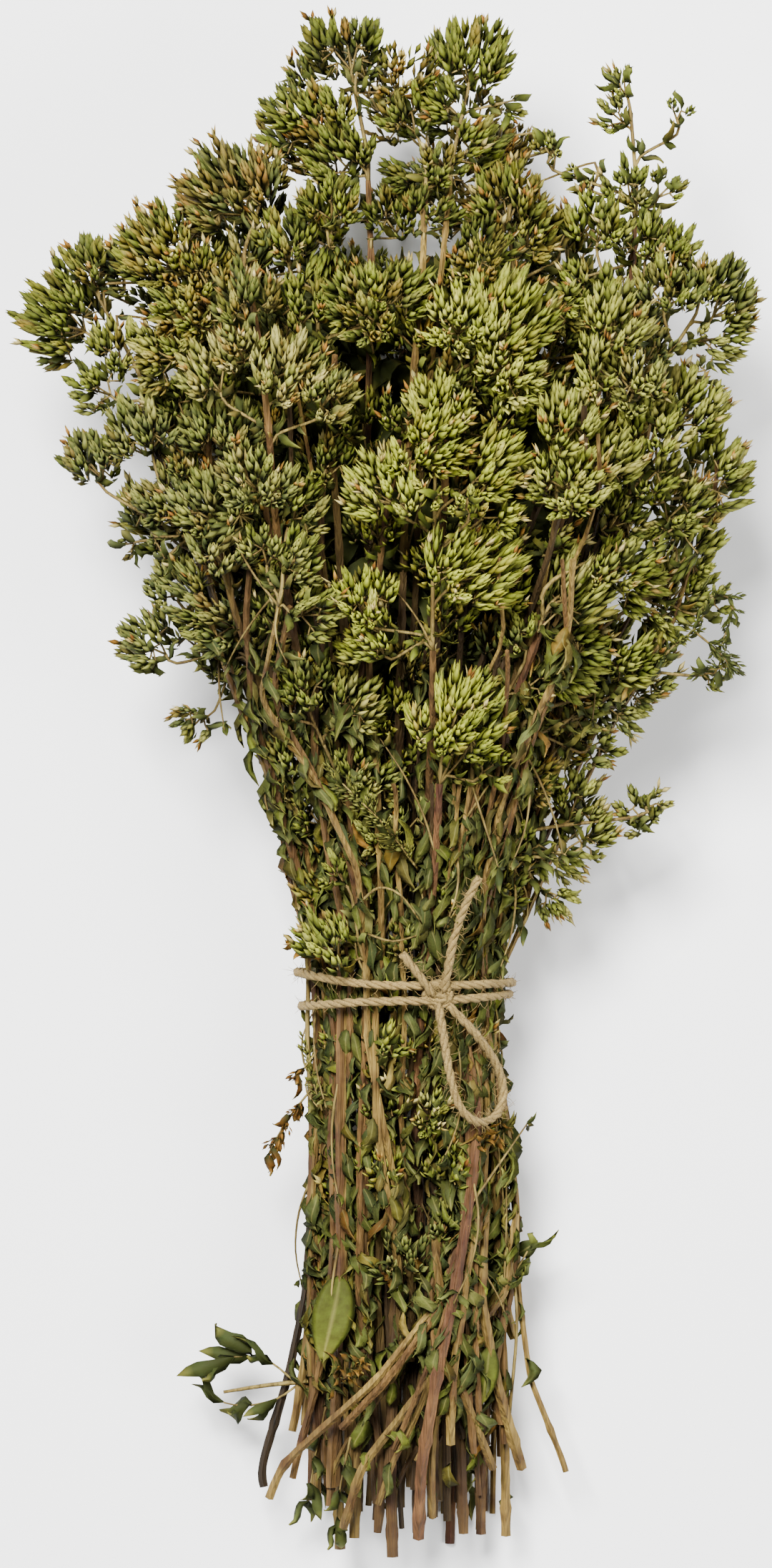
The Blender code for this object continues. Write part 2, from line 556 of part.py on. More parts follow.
def core_solid(radius):
    """Corners and faces of a head's core at unit size: 20 faces, or 8 for a small head."""
    solid = bmesh.new()
    if radius >= SMALL_HEAD:
        bmesh.ops.create_icosphere(solid, subdivisions=1, radius=1)
    else:
        bmesh.ops.create_cone(solid, segments=4, radius1=1, radius2=0, depth=1, cap_ends=False)
        for vertex in solid.verts:
            vertex.co.z = vertex.co.z + 0.5
        ends = [vertex for vertex in solid.verts if vertex.co.z < 0.5]
        below = solid.verts.new((0, 0, -1))
        ring = sorted(ends, key=lambda vertex: math.atan2(vertex.co.y, vertex.co.x))
        for a, b in zip(ring, ring[1:] + ring[:1]):
            solid.faces.new((b, a, below))
    solid.verts.index_update()
    corners = np.array([vertex.co for vertex in solid.verts])
    faces = [tuple(vertex.index for vertex in face.verts) for face in solid.faces]
    solid.free()
    return corners, faces


def head_shape(owner, route, heart, facing, radius, room, chance):
    """A branch and its flower head: spikelets drawn out of the core's faces that look outwards."""
    corners, faces = core_solid(radius)
    normals = [unit(corners[list(face)].mean(axis=0)) for face in faces]
    lead = normals[0]
    lead_side = unit(np.cross(lead, (0.3, 0.5, 0.8)))
    side = unit(np.cross(facing, (0.2, 0.1, 1.0) if abs(facing[2]) < 0.9 else (1.0, 0.0, 0.0)))
    turn = chance.uniform(0, 2 * math.pi)
    up = np.cross(facing, side)
    side, up = (math.cos(turn) * side + math.sin(turn) * up,
                math.cos(turn) * up - math.sin(turn) * side)
    to_world = (np.outer(facing, lead) + np.outer(side, lead_side)
                + np.outer(up, np.cross(lead, lead_side)))
    points = list(heart + CORE_SHARE * radius * corners @ to_world.T)
    order = sorted(range(len(faces)),
                   key=lambda k: -float(normals[k] @ lead) + chance.uniform(0, 0.2))
    behind = max(order, key=lambda k: float((to_world @ normals[k]) @ (route[-1] - heart)))
    budget = min(len(faces) // 2, round(SPIKELETS_PER_MM * radius))
    shape_faces = []
    for k in order:
        a, b, c = faces[k]
        if k == behind:
            shape_faces += branch_faces(points, (a, b, c), route)
            continue
        tilt_share = float(normals[k] @ lead)
        middle = (points[a] + points[b] + points[c]) / 3
        reach = radius * (1.08 + 0.15 * tilt_share) * chance.uniform(0.9, 1.08)
        way = unit(to_world @ normals[k] + [chance.uniform(-0.15, 0.15) for _ in range(3)])
        half_width = min(SPIKELET_HALF_WIDTH, 0.3 * radius)
        drawn = False
        for shortening in (1, 0.85, 0.7):
            tip = heart + way * reach * shortening
            widest = middle + SPIKELET_WIDEST * (tip - middle)
            if budget > 0 and tilt_share > 0.1 and tip[2] > LOWEST_TIP and room.is_clear(
                    along(middle, tip), half_width * 0.75, (owner, owner)):
                drawn = True
                break
        if not drawn:
            shape_faces.append((a, b, c))
            continue
        budget -= 1
        room.take(along(middle, tip), half_width * 0.75, owner)
        first = len(points)
        for corner in (a, b, c):
            points.append(widest + half_width * unit(points[corner] - middle))
        points.append(tip)
        for near, far in (((a, b), (0, 1)), ((b, c), (1, 2)), ((c, a), (2, 0))):
            shape_faces.append((near[0], near[1], first + far[1]))
            shape_faces.append((near[0], first + far[1], first + far[0]))
            shape_faces.append((first + far[0], first + far[1], first + 3))
    return points, shape_faces


def branch_faces(points, face, route):
    """Faces of the thin branch that grows from a core's face back along the route; adds points."""
    middle = (points[face[0]] + points[face[1]] + points[face[2]]) / 3
    offsets = [unit(points[corner] - middle) for corner in face]
    ring = face
    made = []
    backwards = route[::-1]
    for k, place in enumerate(backwards):
        before = unit(place - (backwards[k - 1] if k else middle))
        after = unit(backwards[k + 1] - place) if k + 1 < len(backwards) else before
        way = unit(before + after)
        offsets = [unit(offset - way * float(offset @ way)) for offset in offsets]
        first = len(points)
        points += [place + BRANCH_THICKNESS / 2 * offset for offset in offsets]
        following = (first, first + 1, first + 2)
        for j in range(3):
            a, b = ring[j], ring[(j + 1) % 3]
            c, d = following[(j + 1) % 3], following[j]
            made += [(a, b, c), (a, c, d)]
        ring = following
    made.append(ring)
    return made


def leaf_shapes(owner, route, room, chance):
    """Leaves left on the lower part of a stem, drooping towards its cut end."""
    shapes = []
    reach = (max(route[0, 1] + 12, -196), min(route[-1, 1] - 8, 30))
    for k in range(LEAVES_PER_STEM):
        for _ in range(8):
            y = reach[0] + (reach[1] - reach[0]) * (k + chance.random()) / LEAVES_PER_STEM
            foot = point_at(route, y)
            centre_x, _, mid_z, _ = section_at(y)
            outward = unit(foot - (centre_x, y, mid_z))
            length = chance.uniform(*LEAF_LENGTH)
            way = unit(np.array((chance.uniform(-0.5, 0.5), -1, chance.uniform(-0.3, 0.3)))
                       + 0.6 * outward)
            tip = foot + way * length
            width = LEAF_WIDTH_SHARE * length
            points = along(foot + way * 2.5, tip)
            if room.is_clear(points, width / 2, (owner, owner)):
                room.take(points, width / 2, owner)
                shapes.append(blade(foot, tip, width, outward))
                break
    return shapes


def wrap_route(wrap_y):
    """One turn of twine round the waist, its y eased between the left, front, right and back."""
    route = []
    for k in range(WRAP_CORNERS):
        angle = 2 * math.pi * k / WRAP_CORNERS
        left = max(-math.cos(angle), 0) ** 2
        right = max(math.cos(angle), 0) ** 2
        front = max(math.sin(angle), 0) ** 2
        back = max(-math.sin(angle), 0) ** 2
        y = left * wrap_y[0] + front * wrap_y[1] + right * wrap_y[2] + back * wrap_y[3]
        centre_x, half_x, mid_z, half_z = section_at(y)
        route.append((centre_x + (half_x + TWINE_STANDOFF) * math.cos(angle), y,
                      mid_z + (half_z + TWINE_STANDOFF) * math.sin(angle)))
    return np.array(route)


def laid_route(points):
    """A stretch of twine lying on the bundle, each point given as x, y and height above it."""
    lying = [on_section(x, y, 1) + (0, 0, height + TWINE_DIAMETER / 2) for x, y, height in points]
    return smooth_route(lying, 6)


def twine_shapes(room, owner):
    """The twine's two wraps, its knot, its bow loop and its two tails."""
    radius = TWINE_DIAMETER / 2
    wraps = [wrap_route(wrap_y) for wrap_y in WRAP_Y]
    laid = [laid_route(points) for points in (BOW_LOOP, SHORT_TAIL, LONG_TAIL)]
    knot = on_section(*KNOT, 1) + (0, 0, KNOT_HEIGHT)
    shapes = [ring(route, radius, TWINE_SIDES) for route in wraps]
    shapes += [tube(route, [radius] * len(route), TWINE_SIDES) for route in laid]
    shapes.append(spindle(knot + (-4.2, -1.5, 0.3), knot + (4.2, 1.5, 0.3), 3.1, 6))
    shapes.append(spindle(knot + (0.4, 3.9, 0.6), knot + (0.6, -4.3, 0.6), 2.9, 6))
    for route in wraps:
        room.take(along_route([*route, route[0]]), radius, owner)
    for route in laid:
        room.take(along_route(route), radius, owner)
    room.take(np.array([knot]), 4, owner)
    return shapes


def ring(route, radius, sides):
    """A closed loop of tube."""
    middle = route.mean(axis=0)
    points, faces = [], []
    count = len(route)
    for k, place in enumerate(route):
        ahead = unit(route[(k + 1) % count] - route[k - 1])
        side = unit(place - middle - ahead * float((place - middle) @ ahead))
        up = np.cross(ahead, side)
        for j in range(sides):
            angle = 2 * math.pi * j / sides
            points.append(place + radius * (math.cos(angle) * side + math.sin(angle) * up))
            a, b = k * sides + j, k * sides + (j + 1) % sides
            ahead_a = (k + 1) % count * sides + j
            ahead_b = (k + 1) % count * sides + (j + 1) % sides
            faces.append((a, b, ahead_b, ahead_a))
    return points, faces


def surface_block():
    """The block below z = 0 that cuts what would reach under the surface."""
    bpy.ops.mesh.primitive_cube_add(size=1, location=(0, 0, -0.02))
    surface = bpy.context.object
    surface.name = "surface"
    surface.scale = (0.5, 0.6, 0.04)
    surface.hide_render = True
    bpy.ops.object.transform_apply(location=True, scale=True)


def top_start(stem_places, leaves_at, first_head, room):
    """Where a flower top begins: its first point, the way it sets off and the stem's own point."""
    if leaves_at is None:
        joint = stem_places[-1]
        growth = unit(stem_places[-1] - stem_places[-2])
        return joint + growth * JOINT_GAP, growth, joint
    joint = point_at(stem_places, leaves_at)
    growth = unit(point_at(stem_places, leaves_at + 5) - point_at(stem_places, leaves_at - 5))
    sideways = open_side(joint, growth, on_section(*first_head[:3]) - joint, room)
    start = joint + sideways * (STEM_SIDE_AT_CUT / math.sqrt(2) + JOINT_GAP)
    return start, unit(sideways + growth), joint


def large_leaf(stem, stem_places, foot_y, tip_place, width, room):
    """One of the large leaves as a list with its shape, or an empty list where it has no room."""
    foot = point_at(stem_places, foot_y)
    tip = on_section(*tip_place)
    points = along(foot + unit(tip - foot) * 3, tip)
    if not room.is_clear(points, width / 4, (stem, stem)):
        return []
    room.take(points, 0.45 * width, stem)
    return [blade(foot, tip, width, np.array((0.15, 0.05, 1.0)))]


def build():
    for old in list(bpy.data.objects):
        bpy.data.objects.remove(old)
    chance = random.Random(7)
    room = Room()
    surface_block()

    stems = [stem_shape(route, room, number)
             for number, route in enumerate(stem_routes(), start=1)]
    twine = twine_shapes(room, 0)

    starts = []
    for number, (stem, leaves_at, heads) in enumerate(TOPS, start=1):
        start, growth, joint = top_start(stems[stem - 1][0], leaves_at, heads[0], room)
        starts.append((start, growth, joint))
        room.take(along(start, start + growth * FIRST_LENGTH), BRANCH_THICKNESS / 2 + GAP,
                  100 * number)
    tops = []
    for number, (place, (_, _, heads)) in enumerate(zip(starts, TOPS), start=1):
        tops.append(top_branches(number, heads, *place, room, chance))
    top_shapes = []
    for number, heads in enumerate(tops, start=1):
        top_shapes.append([head_shape(100 * number + order, *head, room, chance)
                           for order, head in enumerate(heads)])

    leaves = {number: [] for number in range(1, len(STEMS) + 1)}
    for stem, foot_y, tip_place, width in LARGE_LEAVES:
        leaves[stem] += large_leaf(stem, stems[stem - 1][0], foot_y, tip_place, width, room)
    for number, (places, _) in enumerate(stems, start=1):
        leaves[number] += leaf_shapes(number, places, room, chance)

    for number, (_, shape) in enumerate(stems, start=1):
        fused(f"stem_{number:02d}", [shape, *leaves[number]], STEMS[number - 1][0], 0.75)
    for number, heads in enumerate(top_shapes, start=1):
        fused(f"flower_top_{number:02d}", heads, GREEN, 0.85)
    fused("twine", twine, JUTE, 0.9)


build()
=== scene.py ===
"""Dried oregano bundle: the finished look of each stem, leaf, flower top and the twine round them."""

import math
import random

import bmesh
import bpy
import numpy as np
from mathutils import Matrix, Vector


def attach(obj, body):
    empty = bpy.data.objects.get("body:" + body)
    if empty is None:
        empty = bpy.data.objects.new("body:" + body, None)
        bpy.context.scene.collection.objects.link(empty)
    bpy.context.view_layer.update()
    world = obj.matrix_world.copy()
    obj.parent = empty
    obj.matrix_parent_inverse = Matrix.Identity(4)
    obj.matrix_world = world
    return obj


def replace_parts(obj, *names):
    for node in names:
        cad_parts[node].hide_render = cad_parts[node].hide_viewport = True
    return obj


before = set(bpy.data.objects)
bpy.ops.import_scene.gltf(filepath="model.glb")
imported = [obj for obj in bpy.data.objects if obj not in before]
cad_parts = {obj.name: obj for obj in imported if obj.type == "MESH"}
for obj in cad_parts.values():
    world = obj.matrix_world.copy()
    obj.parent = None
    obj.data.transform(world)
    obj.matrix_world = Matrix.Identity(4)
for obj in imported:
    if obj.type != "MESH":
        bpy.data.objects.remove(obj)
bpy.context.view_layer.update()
bpy.ops.object.select_all(action="DESELECT")

MM = 0.001

# The table, the light and the camera. The bundle lies on a plain pale table under a large soft
# lamp at the upper left, and the camera looks straight down on it, as the photograph does.
picture_width = 216 * MM
picture_height = picture_width * 2193 / 1080
sharp_height = 70 * MM
camera_distance = 4.0
sensor_size = 36
table_white = (0.92, 0.92, 0.915, 1)

bpy.ops.mesh.primitive_plane_add(size=8, location=(0, 0, -0.1 * MM))
table = bpy.context.object
table.name = "table"
paint = bpy.data.materials.new("table_paint")
paint.use_nodes = True
paint.node_tree.nodes["Principled BSDF"].inputs["Base Color"].default_value = table_white
paint.node_tree.nodes["Principled BSDF"].inputs["Roughness"].default_value = 0.9
table.data.materials.append(paint)

bpy.ops.object.camera_add(location=(0, 0, sharp_height + camera_distance), rotation=(0, 0, 0))
camera = bpy.context.object
camera.data.sensor_fit = "VERTICAL"
camera.data.sensor_height = sensor_size
camera.data.sensor_width = sensor_size
camera.data.lens = sensor_size * camera_distance / picture_height
camera.data.clip_end = 30
bpy.context.scene.camera = camera

for name, place, size, power in (("window", (-0.55, 1.0, 2.5), 0.9, 315),
                                 ("wall", (1.6, -0.6, 2.1), 1.5, 80)):
    bpy.ops.object.light_add(type="AREA", location=place)
    lamp = bpy.context.object
    lamp.name = name
    lamp.data.size = size
    lamp.data.energy = power
    lamp.rotation_euler = (-Vector(place)).to_track_quat("-Z", "Y").to_euler()
room_light = bpy.data.worlds.new("room_light")
room_light.use_nodes = True
room_light.node_tree.nodes["Background"].inputs["Color"].default_value = (0.95, 0.97, 1.0, 1)
room_light.node_tree.nodes["Background"].inputs["Strength"].default_value = 0.16
bpy.context.scene.world = room_light

# Stems. Two dozen dried stems, square and grooved, swollen where a leaf pair stood: tan, brown, some
# purple and one black, all darkened inside the bundle by painted shade. Each centre line is read from
# slices across the solid stem, and a grooved square is swept along it.
stem_count = 24
slice_step = 2 * MM
side_at_cut, side_at_fork = 2.35 * MM, 1.4 * MM
widest_slice = 4.9 * MM
brown_stems = (1, 3, 11, 13, 15, 19, 21)
purple_stems = (4, 7, 14)
black_stem = 23
slender_stems = {2: 0.75, 5: 0.85, 8: 0.85, 9: 0.55, 17: 0.8, 23: 0.75}
first_knot, knot_gap = (6, 20), (17, 34)
knot_swell, knot_length = 0.3, 1.6 * MM
smooth_below = math.radians(50)


def length_of(vector):
    """The vector's length as a plain number."""
    return float(np.linalg.norm(vector))


def joined_solid(node):
    """The CAD node's mesh with its loose triangles joined at their corners."""
    shape = bmesh.new()
    shape.from_mesh(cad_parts[node].data)
    bmesh.ops.remove_doubles(shape, verts=shape.verts, dist=0.001 * MM)
    shape.verts.index_update()
    shape.edges.index_update()
    return shape


def outlines_at(y, corners, edges, faces):
    """The closed outlines that a slice at y cuts from the solid, each as its corner points."""
    height = corners[:, 1] - y
    near, far = edges.T
    crossed = height[near] * height[far] < 0
    group = {int(k): int(k) for k in np.flatnonzero(crossed)}
    for face in faces[crossed[faces].sum(axis=1) == 2]:
        a, b = (int(k) for k in face if crossed[k])
        old, new = group[a], group[b]
        for k in group:
            if group[k] == old:
                group[k] = new
    outlines = {}
    for k, owner in group.items():
        share = height[near[k]] / (height[near[k]] - height[far[k]])
        point = corners[near[k]] + share * (corners[far[k]] - corners[near[k]])
        outlines.setdefault(owner, []).append(point)
    return [np.array(points) for points in outlines.values()]


def stem_line(number):
    """The stem's centre line from its cut end to its fork. Slices through a leaf are passed over."""
    shape = joined_solid(f"stem_{number:02d}")
    corners = np.array([corner.co for corner in shape.verts])
    edges = np.array([[corner.index for corner in edge.verts] for edge in shape.edges])
    faces = np.array([[edge.index for edge in face.edges] for face in shape.faces])
    shape.free()
    line = []
    for y in np.arange(corners[:, 1].max() - 0.3 * MM, corners[:, 1].min(), -slice_step):
        expected, strayed = None, 2 * slice_step
        if len(line) > 3:
            slope = (line[-1] - line[-4]) / (line[-1][1] - line[-4][1])
            expected = line[-1] + slope * (y - line[-1][1])
            strayed = slice_step + 0.2 * (line[-1][1] - y)
        elif line:
            expected = line[-1]
        middles = []
        for outline in outlines_at(y, corners, edges, faces):
            low, high = outline.min(axis=0), outline.max(axis=0)
            if (high - low).max() < widest_slice:
                middles.append((low + high) / 2)
        if expected is not None:
            middles = [middle for middle in middles if length_of(middle - expected) < strayed]
            middles.sort(key=lambda middle: length_of(middle - expected))
        if middles:
            line.append(middles[0])
    return np.array(line[::-1])


def rounded(line, times=2):
    """The line with its corners eased, its ends kept."""
    for _ in range(times):
        line = np.vstack((line[:1], (line[:-2] + 2 * line[1:-1] + line[2:]) / 4, line[-1:]))
    return line


def travelled_along(line):
    """How far each of the line's points is from its start, measured along it."""
    return np.append(0, np.cumsum(np.linalg.norm(np.diff(line, axis=0), axis=1)))


def pick(*objects):
    """These objects alone are selected, and the first is active."""
    bpy.ops.object.select_all(action="DESELECT")
    for one in objects:
        one.select_set(True)
    bpy.context.view_layer.objects.active = objects[0]


def swept(name, runs, profile=None):
    """One mesh object with a closed rod along each run of points and thicknesses, above the table."""
    lines = bpy.data.curves.new(name, "CURVE")
    lines.dimensions = "3D"
    lines.use_fill_caps = True
    if profile is None:
        lines.bevel_depth = 0.5
        lines.bevel_resolution = 0
    else:
        lines.bevel_mode = "OBJECT"
        lines.bevel_object = profile
    for points, thicknesses in runs:
        thicknesses = np.asarray(thicknesses, float)
        lying = np.column_stack((points[:, :2], np.maximum(points[:, 2], 0.6 * thicknesses)))
        spline = lines.splines.new("POLY")
        spline.points.add(len(points) - 1)
        spline.points.foreach_set("co", np.column_stack((lying, np.ones(len(points)))).ravel())
        spline.points.foreach_set("radius", thicknesses)
    made = bpy.data.objects.new(name, lines)
    bpy.context.scene.collection.objects.link(made)
    pick(made)
    bpy.ops.object.convert(target="MESH")
    bpy.ops.object.mode_set(mode="EDIT")
    bpy.ops.mesh.select_all(action="SELECT")
    bpy.ops.mesh.remove_doubles(threshold=0.0005 * MM)
    bpy.ops.mesh.normals_make_consistent(inside=False)
    bpy.ops.object.mode_set(mode="OBJECT")
    return made


def add_node(tree, kind, inputs=(), **settings):
    """A new shader node with its settings, and its inputs each linked or given a value."""
    made = tree.nodes.new(kind)
    for name, value in settings.items():
        setattr(made, name, value)
    for name, value in dict(inputs).items():
        if isinstance(value, bpy.types.NodeSocket):
            tree.links.new(value, made.inputs[name])
        else:
            made.inputs[name].default_value = value
    return made


def new_group(name, inputs, outputs):
    """A shader node group with its sockets, its input node and its output node."""
    group = bpy.data.node_groups.new(name, "ShaderNodeTree")
    for label, kind in inputs:
        group.interface.new_socket(label, in_out="INPUT", socket_type=kind)
    for label, kind in outputs:
        group.interface.new_socket(label, in_out="OUTPUT", socket_type=kind)
    return group, group.nodes.new("NodeGroupInput").outputs, group.nodes.new("NodeGroupOutput").inputs


def noise(tree, place, scale, detail, distortion=0.0):
    """A cloudy value, finer with a higher scale."""
    return add_node(tree, "ShaderNodeTexNoise", {"Vector": place, "Scale": scale, "Detail": detail,
                                                 "Distortion": distortion}).outputs["Fac"]


def eased(tree, value, start, end, low=0.0, high=1.0):
    """What goes from low to high while the value goes from start to end."""
    return add_node(tree, "ShaderNodeMapRange", {"Value": value, "From Min": start, "From Max": end,
                                                 "To Min": low, "To Max": high}).outputs[0]


def product(tree, one, other):
    """The two values multiplied."""
    return add_node(tree, "ShaderNodeMath", {0: one, 1: other}, operation="MULTIPLY").outputs[0]


def mixed(tree, share, first, second):
    """The colour that is the share of the way from the first to the second, in sockets 6 and 7."""
    return add_node(tree, "ShaderNodeMix", {0: share, 6: first, 7: second}, data_type="RGBA").outputs[2]


# Painted shade: a dark brown for the stems deep inside the bundle; then the colour of the fine dark
# lines.
bark_painted_shade, bark_line = (0.016, 0.010, 0.004, 1), (0.03, 0.017, 0.006, 1)
painted_shade_ovals = (
    # one inside the crown and one inside the foot, both in the bundle's shade: the oval's shift and
    # stretch, share of painted shade
    ((-0.06, -0.8, -0.9), (12.5, 13.3, 20), 0.88),
    ((-0.19, 1.03, -1.04), (35, 7.9, 43), 0.72),
)
oval_edge = (0.75, 1.15)
bark, given, result = new_group(
    "dry_bark", (("Pale", "NodeSocketColor"), ("Dark", "NodeSocketColor")),
    (("Colour", "NodeSocketColor"), ("Height", "NodeSocketFloat")))
place = add_node(bark, "ShaderNodeTexCoord").outputs["Object"]
stretched = add_node(bark, "ShaderNodeMapping", {"Vector": place, "Scale": (1, 0.05, 1)}).outputs[0]
streaks = eased(bark, noise(bark, stretched, 1000.0, 3.0), 0.3, 0.7)
patches = eased(bark, noise(bark, place, 90.0, 5.0), 0.35, 0.65)
colour = mixed(bark, patches, given["Dark"], given["Pale"])
# Painted shade: the stems darken inside each oval, deep in the bundle where shade falls.
for shift, stretch, most in painted_shade_ovals:
    oval = add_node(bark, "ShaderNodeMapping", {"Vector": place, "Location": shift, "Scale": stretch})
    distance = add_node(bark, "ShaderNodeVectorMath", {0: oval.outputs[0]}, operation="LENGTH")
    oval_shade = eased(bark, distance.outputs["Value"], *oval_edge, most, 0.0)
    colour = mixed(bark, oval_shade, colour, bark_painted_shade)
bark.links.new(mixed(bark, product(bark, streaks, 0.75), colour, bark_line), result["Colour"])
bark.links.new(streaks, result["Height"])


def dry_finish(name, group, amounts, roughness, gloss, relief, relief_depth):
    """A dry plant's finish: a pattern group, set to these amounts, gives its colour and relief."""
    material = bpy.data.materials.new(name)
    material.use_nodes = True
    tree = material.node_tree
    shader = tree.nodes["Principled BSDF"]
    pattern = add_node(tree, "ShaderNodeGroup", amounts, node_tree=group)
    bump = add_node(tree, "ShaderNodeBump", {"Height": pattern.outputs["Height"], "Strength": relief,
                                             "Distance": relief_depth * MM})
    tree.links.new(pattern.outputs["Colour"], shader.inputs["Base Color"])
    tree.links.new(bump.outputs["Normal"], shader.inputs["Normal"])
    shader.inputs["Roughness"].default_value = roughness
    shader.inputs["Specular IOR Level"].default_value = gloss
    return material


def wood(name, pale, dark):
    """A stem's finish: its two colours in patches, with fine dark lines along the stem, and painted
    shade deep in the bundle.
    """
    return dry_finish(name, bark, {"Pale": (*pale, 1), "Dark": (*dark, 1)}, 0.7, 0.15, 0.9, 0.4)


tan_wood = wood("tan_stem", (0.29, 0.195, 0.046), (0.085, 0.042, 0.012))
brown_wood = wood("brown_stem", (0.19, 0.105, 0.03), (0.045, 0.017, 0.008))
stem_woods = dict.fromkeys(brown_stems, brown_wood)
stem_woods.update(dict.fromkeys(purple_stems, wood("purple_stem", (0.17, 0.08, 0.03),
                                                   (0.05, 0.016, 0.010))))
stem_woods[black_stem] = wood("blackened_stem", (0.010, 0.007, 0.004), (0.004, 0.003, 0.002))

square = bpy.data.curves.new("stem_section", "CURVE")
ribs = square.splines.new("POLY")
ribs.points.add(11)
ribs.use_cyclic_u = True
for k, rib in enumerate(ribs.points):
    angle = 2 * math.pi * k / len(ribs.points)
    reach = 0.53 + 0.12 * math.cos(4 * angle)
    rib.co = (reach * math.cos(angle), reach * math.sin(angle), 0, 1)
stem_section = bpy.data.objects.new("stem_section", square)
bpy.context.scene.collection.objects.link(stem_section)

chance = random.Random(11)


def swollen(line, at_cut, at_fork):
    """The stem's side at each point: it thins upwards, and swells where a leaf pair stood."""
    travelled = travelled_along(line)
    sides = np.interp(travelled, (0, travelled[-1]), (at_cut, at_fork))
    knot = chance.uniform(*first_knot) * MM
    while knot < travelled[-1]:
        sides *= 1 + knot_swell * np.exp(-((travelled - knot) / knot_length) ** 2)
        knot += chance.uniform(*knot_gap) * MM
    return sides * (1 + 0.05 * np.array([chance.uniform(-1, 1) for _ in sides]))


stem_lines = {}
for number in range(1, stem_count + 1):
    line = rounded(stem_line(number))
    stem_lines[number] = line
    girth = chance.uniform(0.86, 1.08) * slender_stems.get(number, 1)
    sides = swollen(line, side_at_cut * girth, side_at_fork * girth)
    stem = swept(f"stalk_{number:02d}", [(line, sides)], stem_section)
    bpy.ops.object.shade_smooth_by_angle(angle=smooth_below)
    stem.data.materials.append(stem_woods.get(number, tan_wood))
    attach(stem, "root")
    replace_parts(stem, f"stem_{number:02d}")

# The bundle's form: an oval cross-section that narrows at the twine and opens into the crown. Thin
# stems, leaves, sprays and twine are set out on it, with the same sizes as the solid bundle.
section_y = (-222, -150, -58, 0, 20, 40, 80, 120, 145, 155, 171, 179, 187, 205, 213)
section_centre_x = (5, 5.5, 5.5, 11, 11, 7, 9, 1, 0, 1, 11, 8, 3, 5, 5)
section_half_x = (31, 29.5, 26.5, 47, 57, 76, 88, 97, 93, 76, 62, 46, 38, 29, 18)
section_half_z = (28, 27, 25, 36, 43, 50, 61, 67, 64, 59, 51, 46, 41, 28, 22)
section_mid_z = (16, 24, 37, 49, 54, 59, 66, 69, 71, 71.3, 71.8, 72, 72.5, 73.6, 74)


def section_at(y):
    """The bundle's cross-section at y: centre x, half width, middle height, half height."""
    columns = (section_centre_x, section_half_x, section_mid_z, section_half_z)
    return tuple(float(np.interp(y / MM, section_y, column)) * MM for column in columns)


def on_section(x, y, lift):
    """The point at x, y in millimetres whose height is lift's share of the section's own there."""
    centre_x, half_x, mid_z, half_z = section_at(y * MM)
    across = min(abs(x * MM - centre_x) / half_x, 0.97)
    return np.array((x * MM, y * MM, mid_z + lift * half_z * math.sqrt(1 - across**2)))


def off_axis(point):
    """How far across and up a point is from the bundle's axis, 1 being the bundle's surface."""
    centre_x, half_x, mid_z, half_z = section_at(point[1])
    return np.array(((point[0] - centre_x) / half_x, 0, (point[2] - mid_z) / half_z))


def unit(vector):
    """The vector's direction, at length 1."""
    return vector / max(length_of(vector), 1e-12)


# Thin stems. Younger stems fill the bundle between the strong ones, from the cut ends up into the
# crown. Each keeps its place between two strong neighbours and sways from one to the other, and
# those deep inside take a darker finish as painted shade. More of them lie close together along the
# bundle's underside.
thin_stem_count = 66
under_stem_count = 15
thin_side = (1.0, 1.9)
thin_taper = 0.7
waist_y, foot_y = -58 * MM, -100 * MM
inner_share, outer_share = 0.6, 0.95


def point_at(line, y):
    """The point where a line that runs towards +Y passes y, or the points for several."""
    return np.stack([np.interp(y, line[:, 1], line[:, k]) for k in range(3)], axis=-1)


chance = random.Random(17)
thin_lines = []
thin_runs = {"pale": [], "dark": [], "inner": []}
for number in range(thin_stem_count):
    one = stem_lines[number % stem_count + 1]
    at_waist = point_at(one, waist_y)
    near = sorted(stem_lines.values(), key=lambda line: length_of(point_at(line, waist_y) - at_waist))
    other = near[chance.randint(1, 6)]
    low = max(one[0, 1], other[0, 1]) + chance.uniform(0, 22) * MM
    high = min(one[-1, 1], other[-1, 1], chance.uniform(40, 120) * MM)
    heights = np.append(np.arange(low, high, 6 * MM), high)
    sway = chance.uniform(0.4, 0.6) + 0.3 * np.sin(chance.uniform(0, 6) + heights / (45 * MM))
    line = (1 - sway[:, None]) * point_at(one, heights) + sway[:, None] * point_at(other, heights)
    line[:, 1] = heights
    line[:, ::2] += np.array([[chance.uniform(-0.5, 0.5) * MM for _ in range(2)] for _ in heights])
    if number % 2:
        share = length_of(off_axis(point_at(line, waist_y)))
        push = max(chance.uniform(0.8, 0.93) / max(share, 0.3), 1)
        for k, y in enumerate(heights):
            centre_x, half_x, mid_z, half_z = section_at(y)
            middle = np.array((centre_x, y, mid_z))
            line[k] = middle + push * (line[k] - middle)
            over = length_of(off_axis(line[k])) / outer_share
            if over > 1:
                line[k] = middle + (line[k] - middle) / over
    line = rounded(line, 1)
    thin_lines.append(line)
    side = chance.uniform(*thin_side) * MM
    # A thin stem deep inside the bundle takes the dark inner finish: painted shade.
    kind = "inner"
    if length_of(off_axis(point_at(line, foot_y))) >= inner_share:
        kind = chance.choice(("pale", "dark"))
    thin_runs[kind].append((line, swollen(line, side, thin_taper * side)))
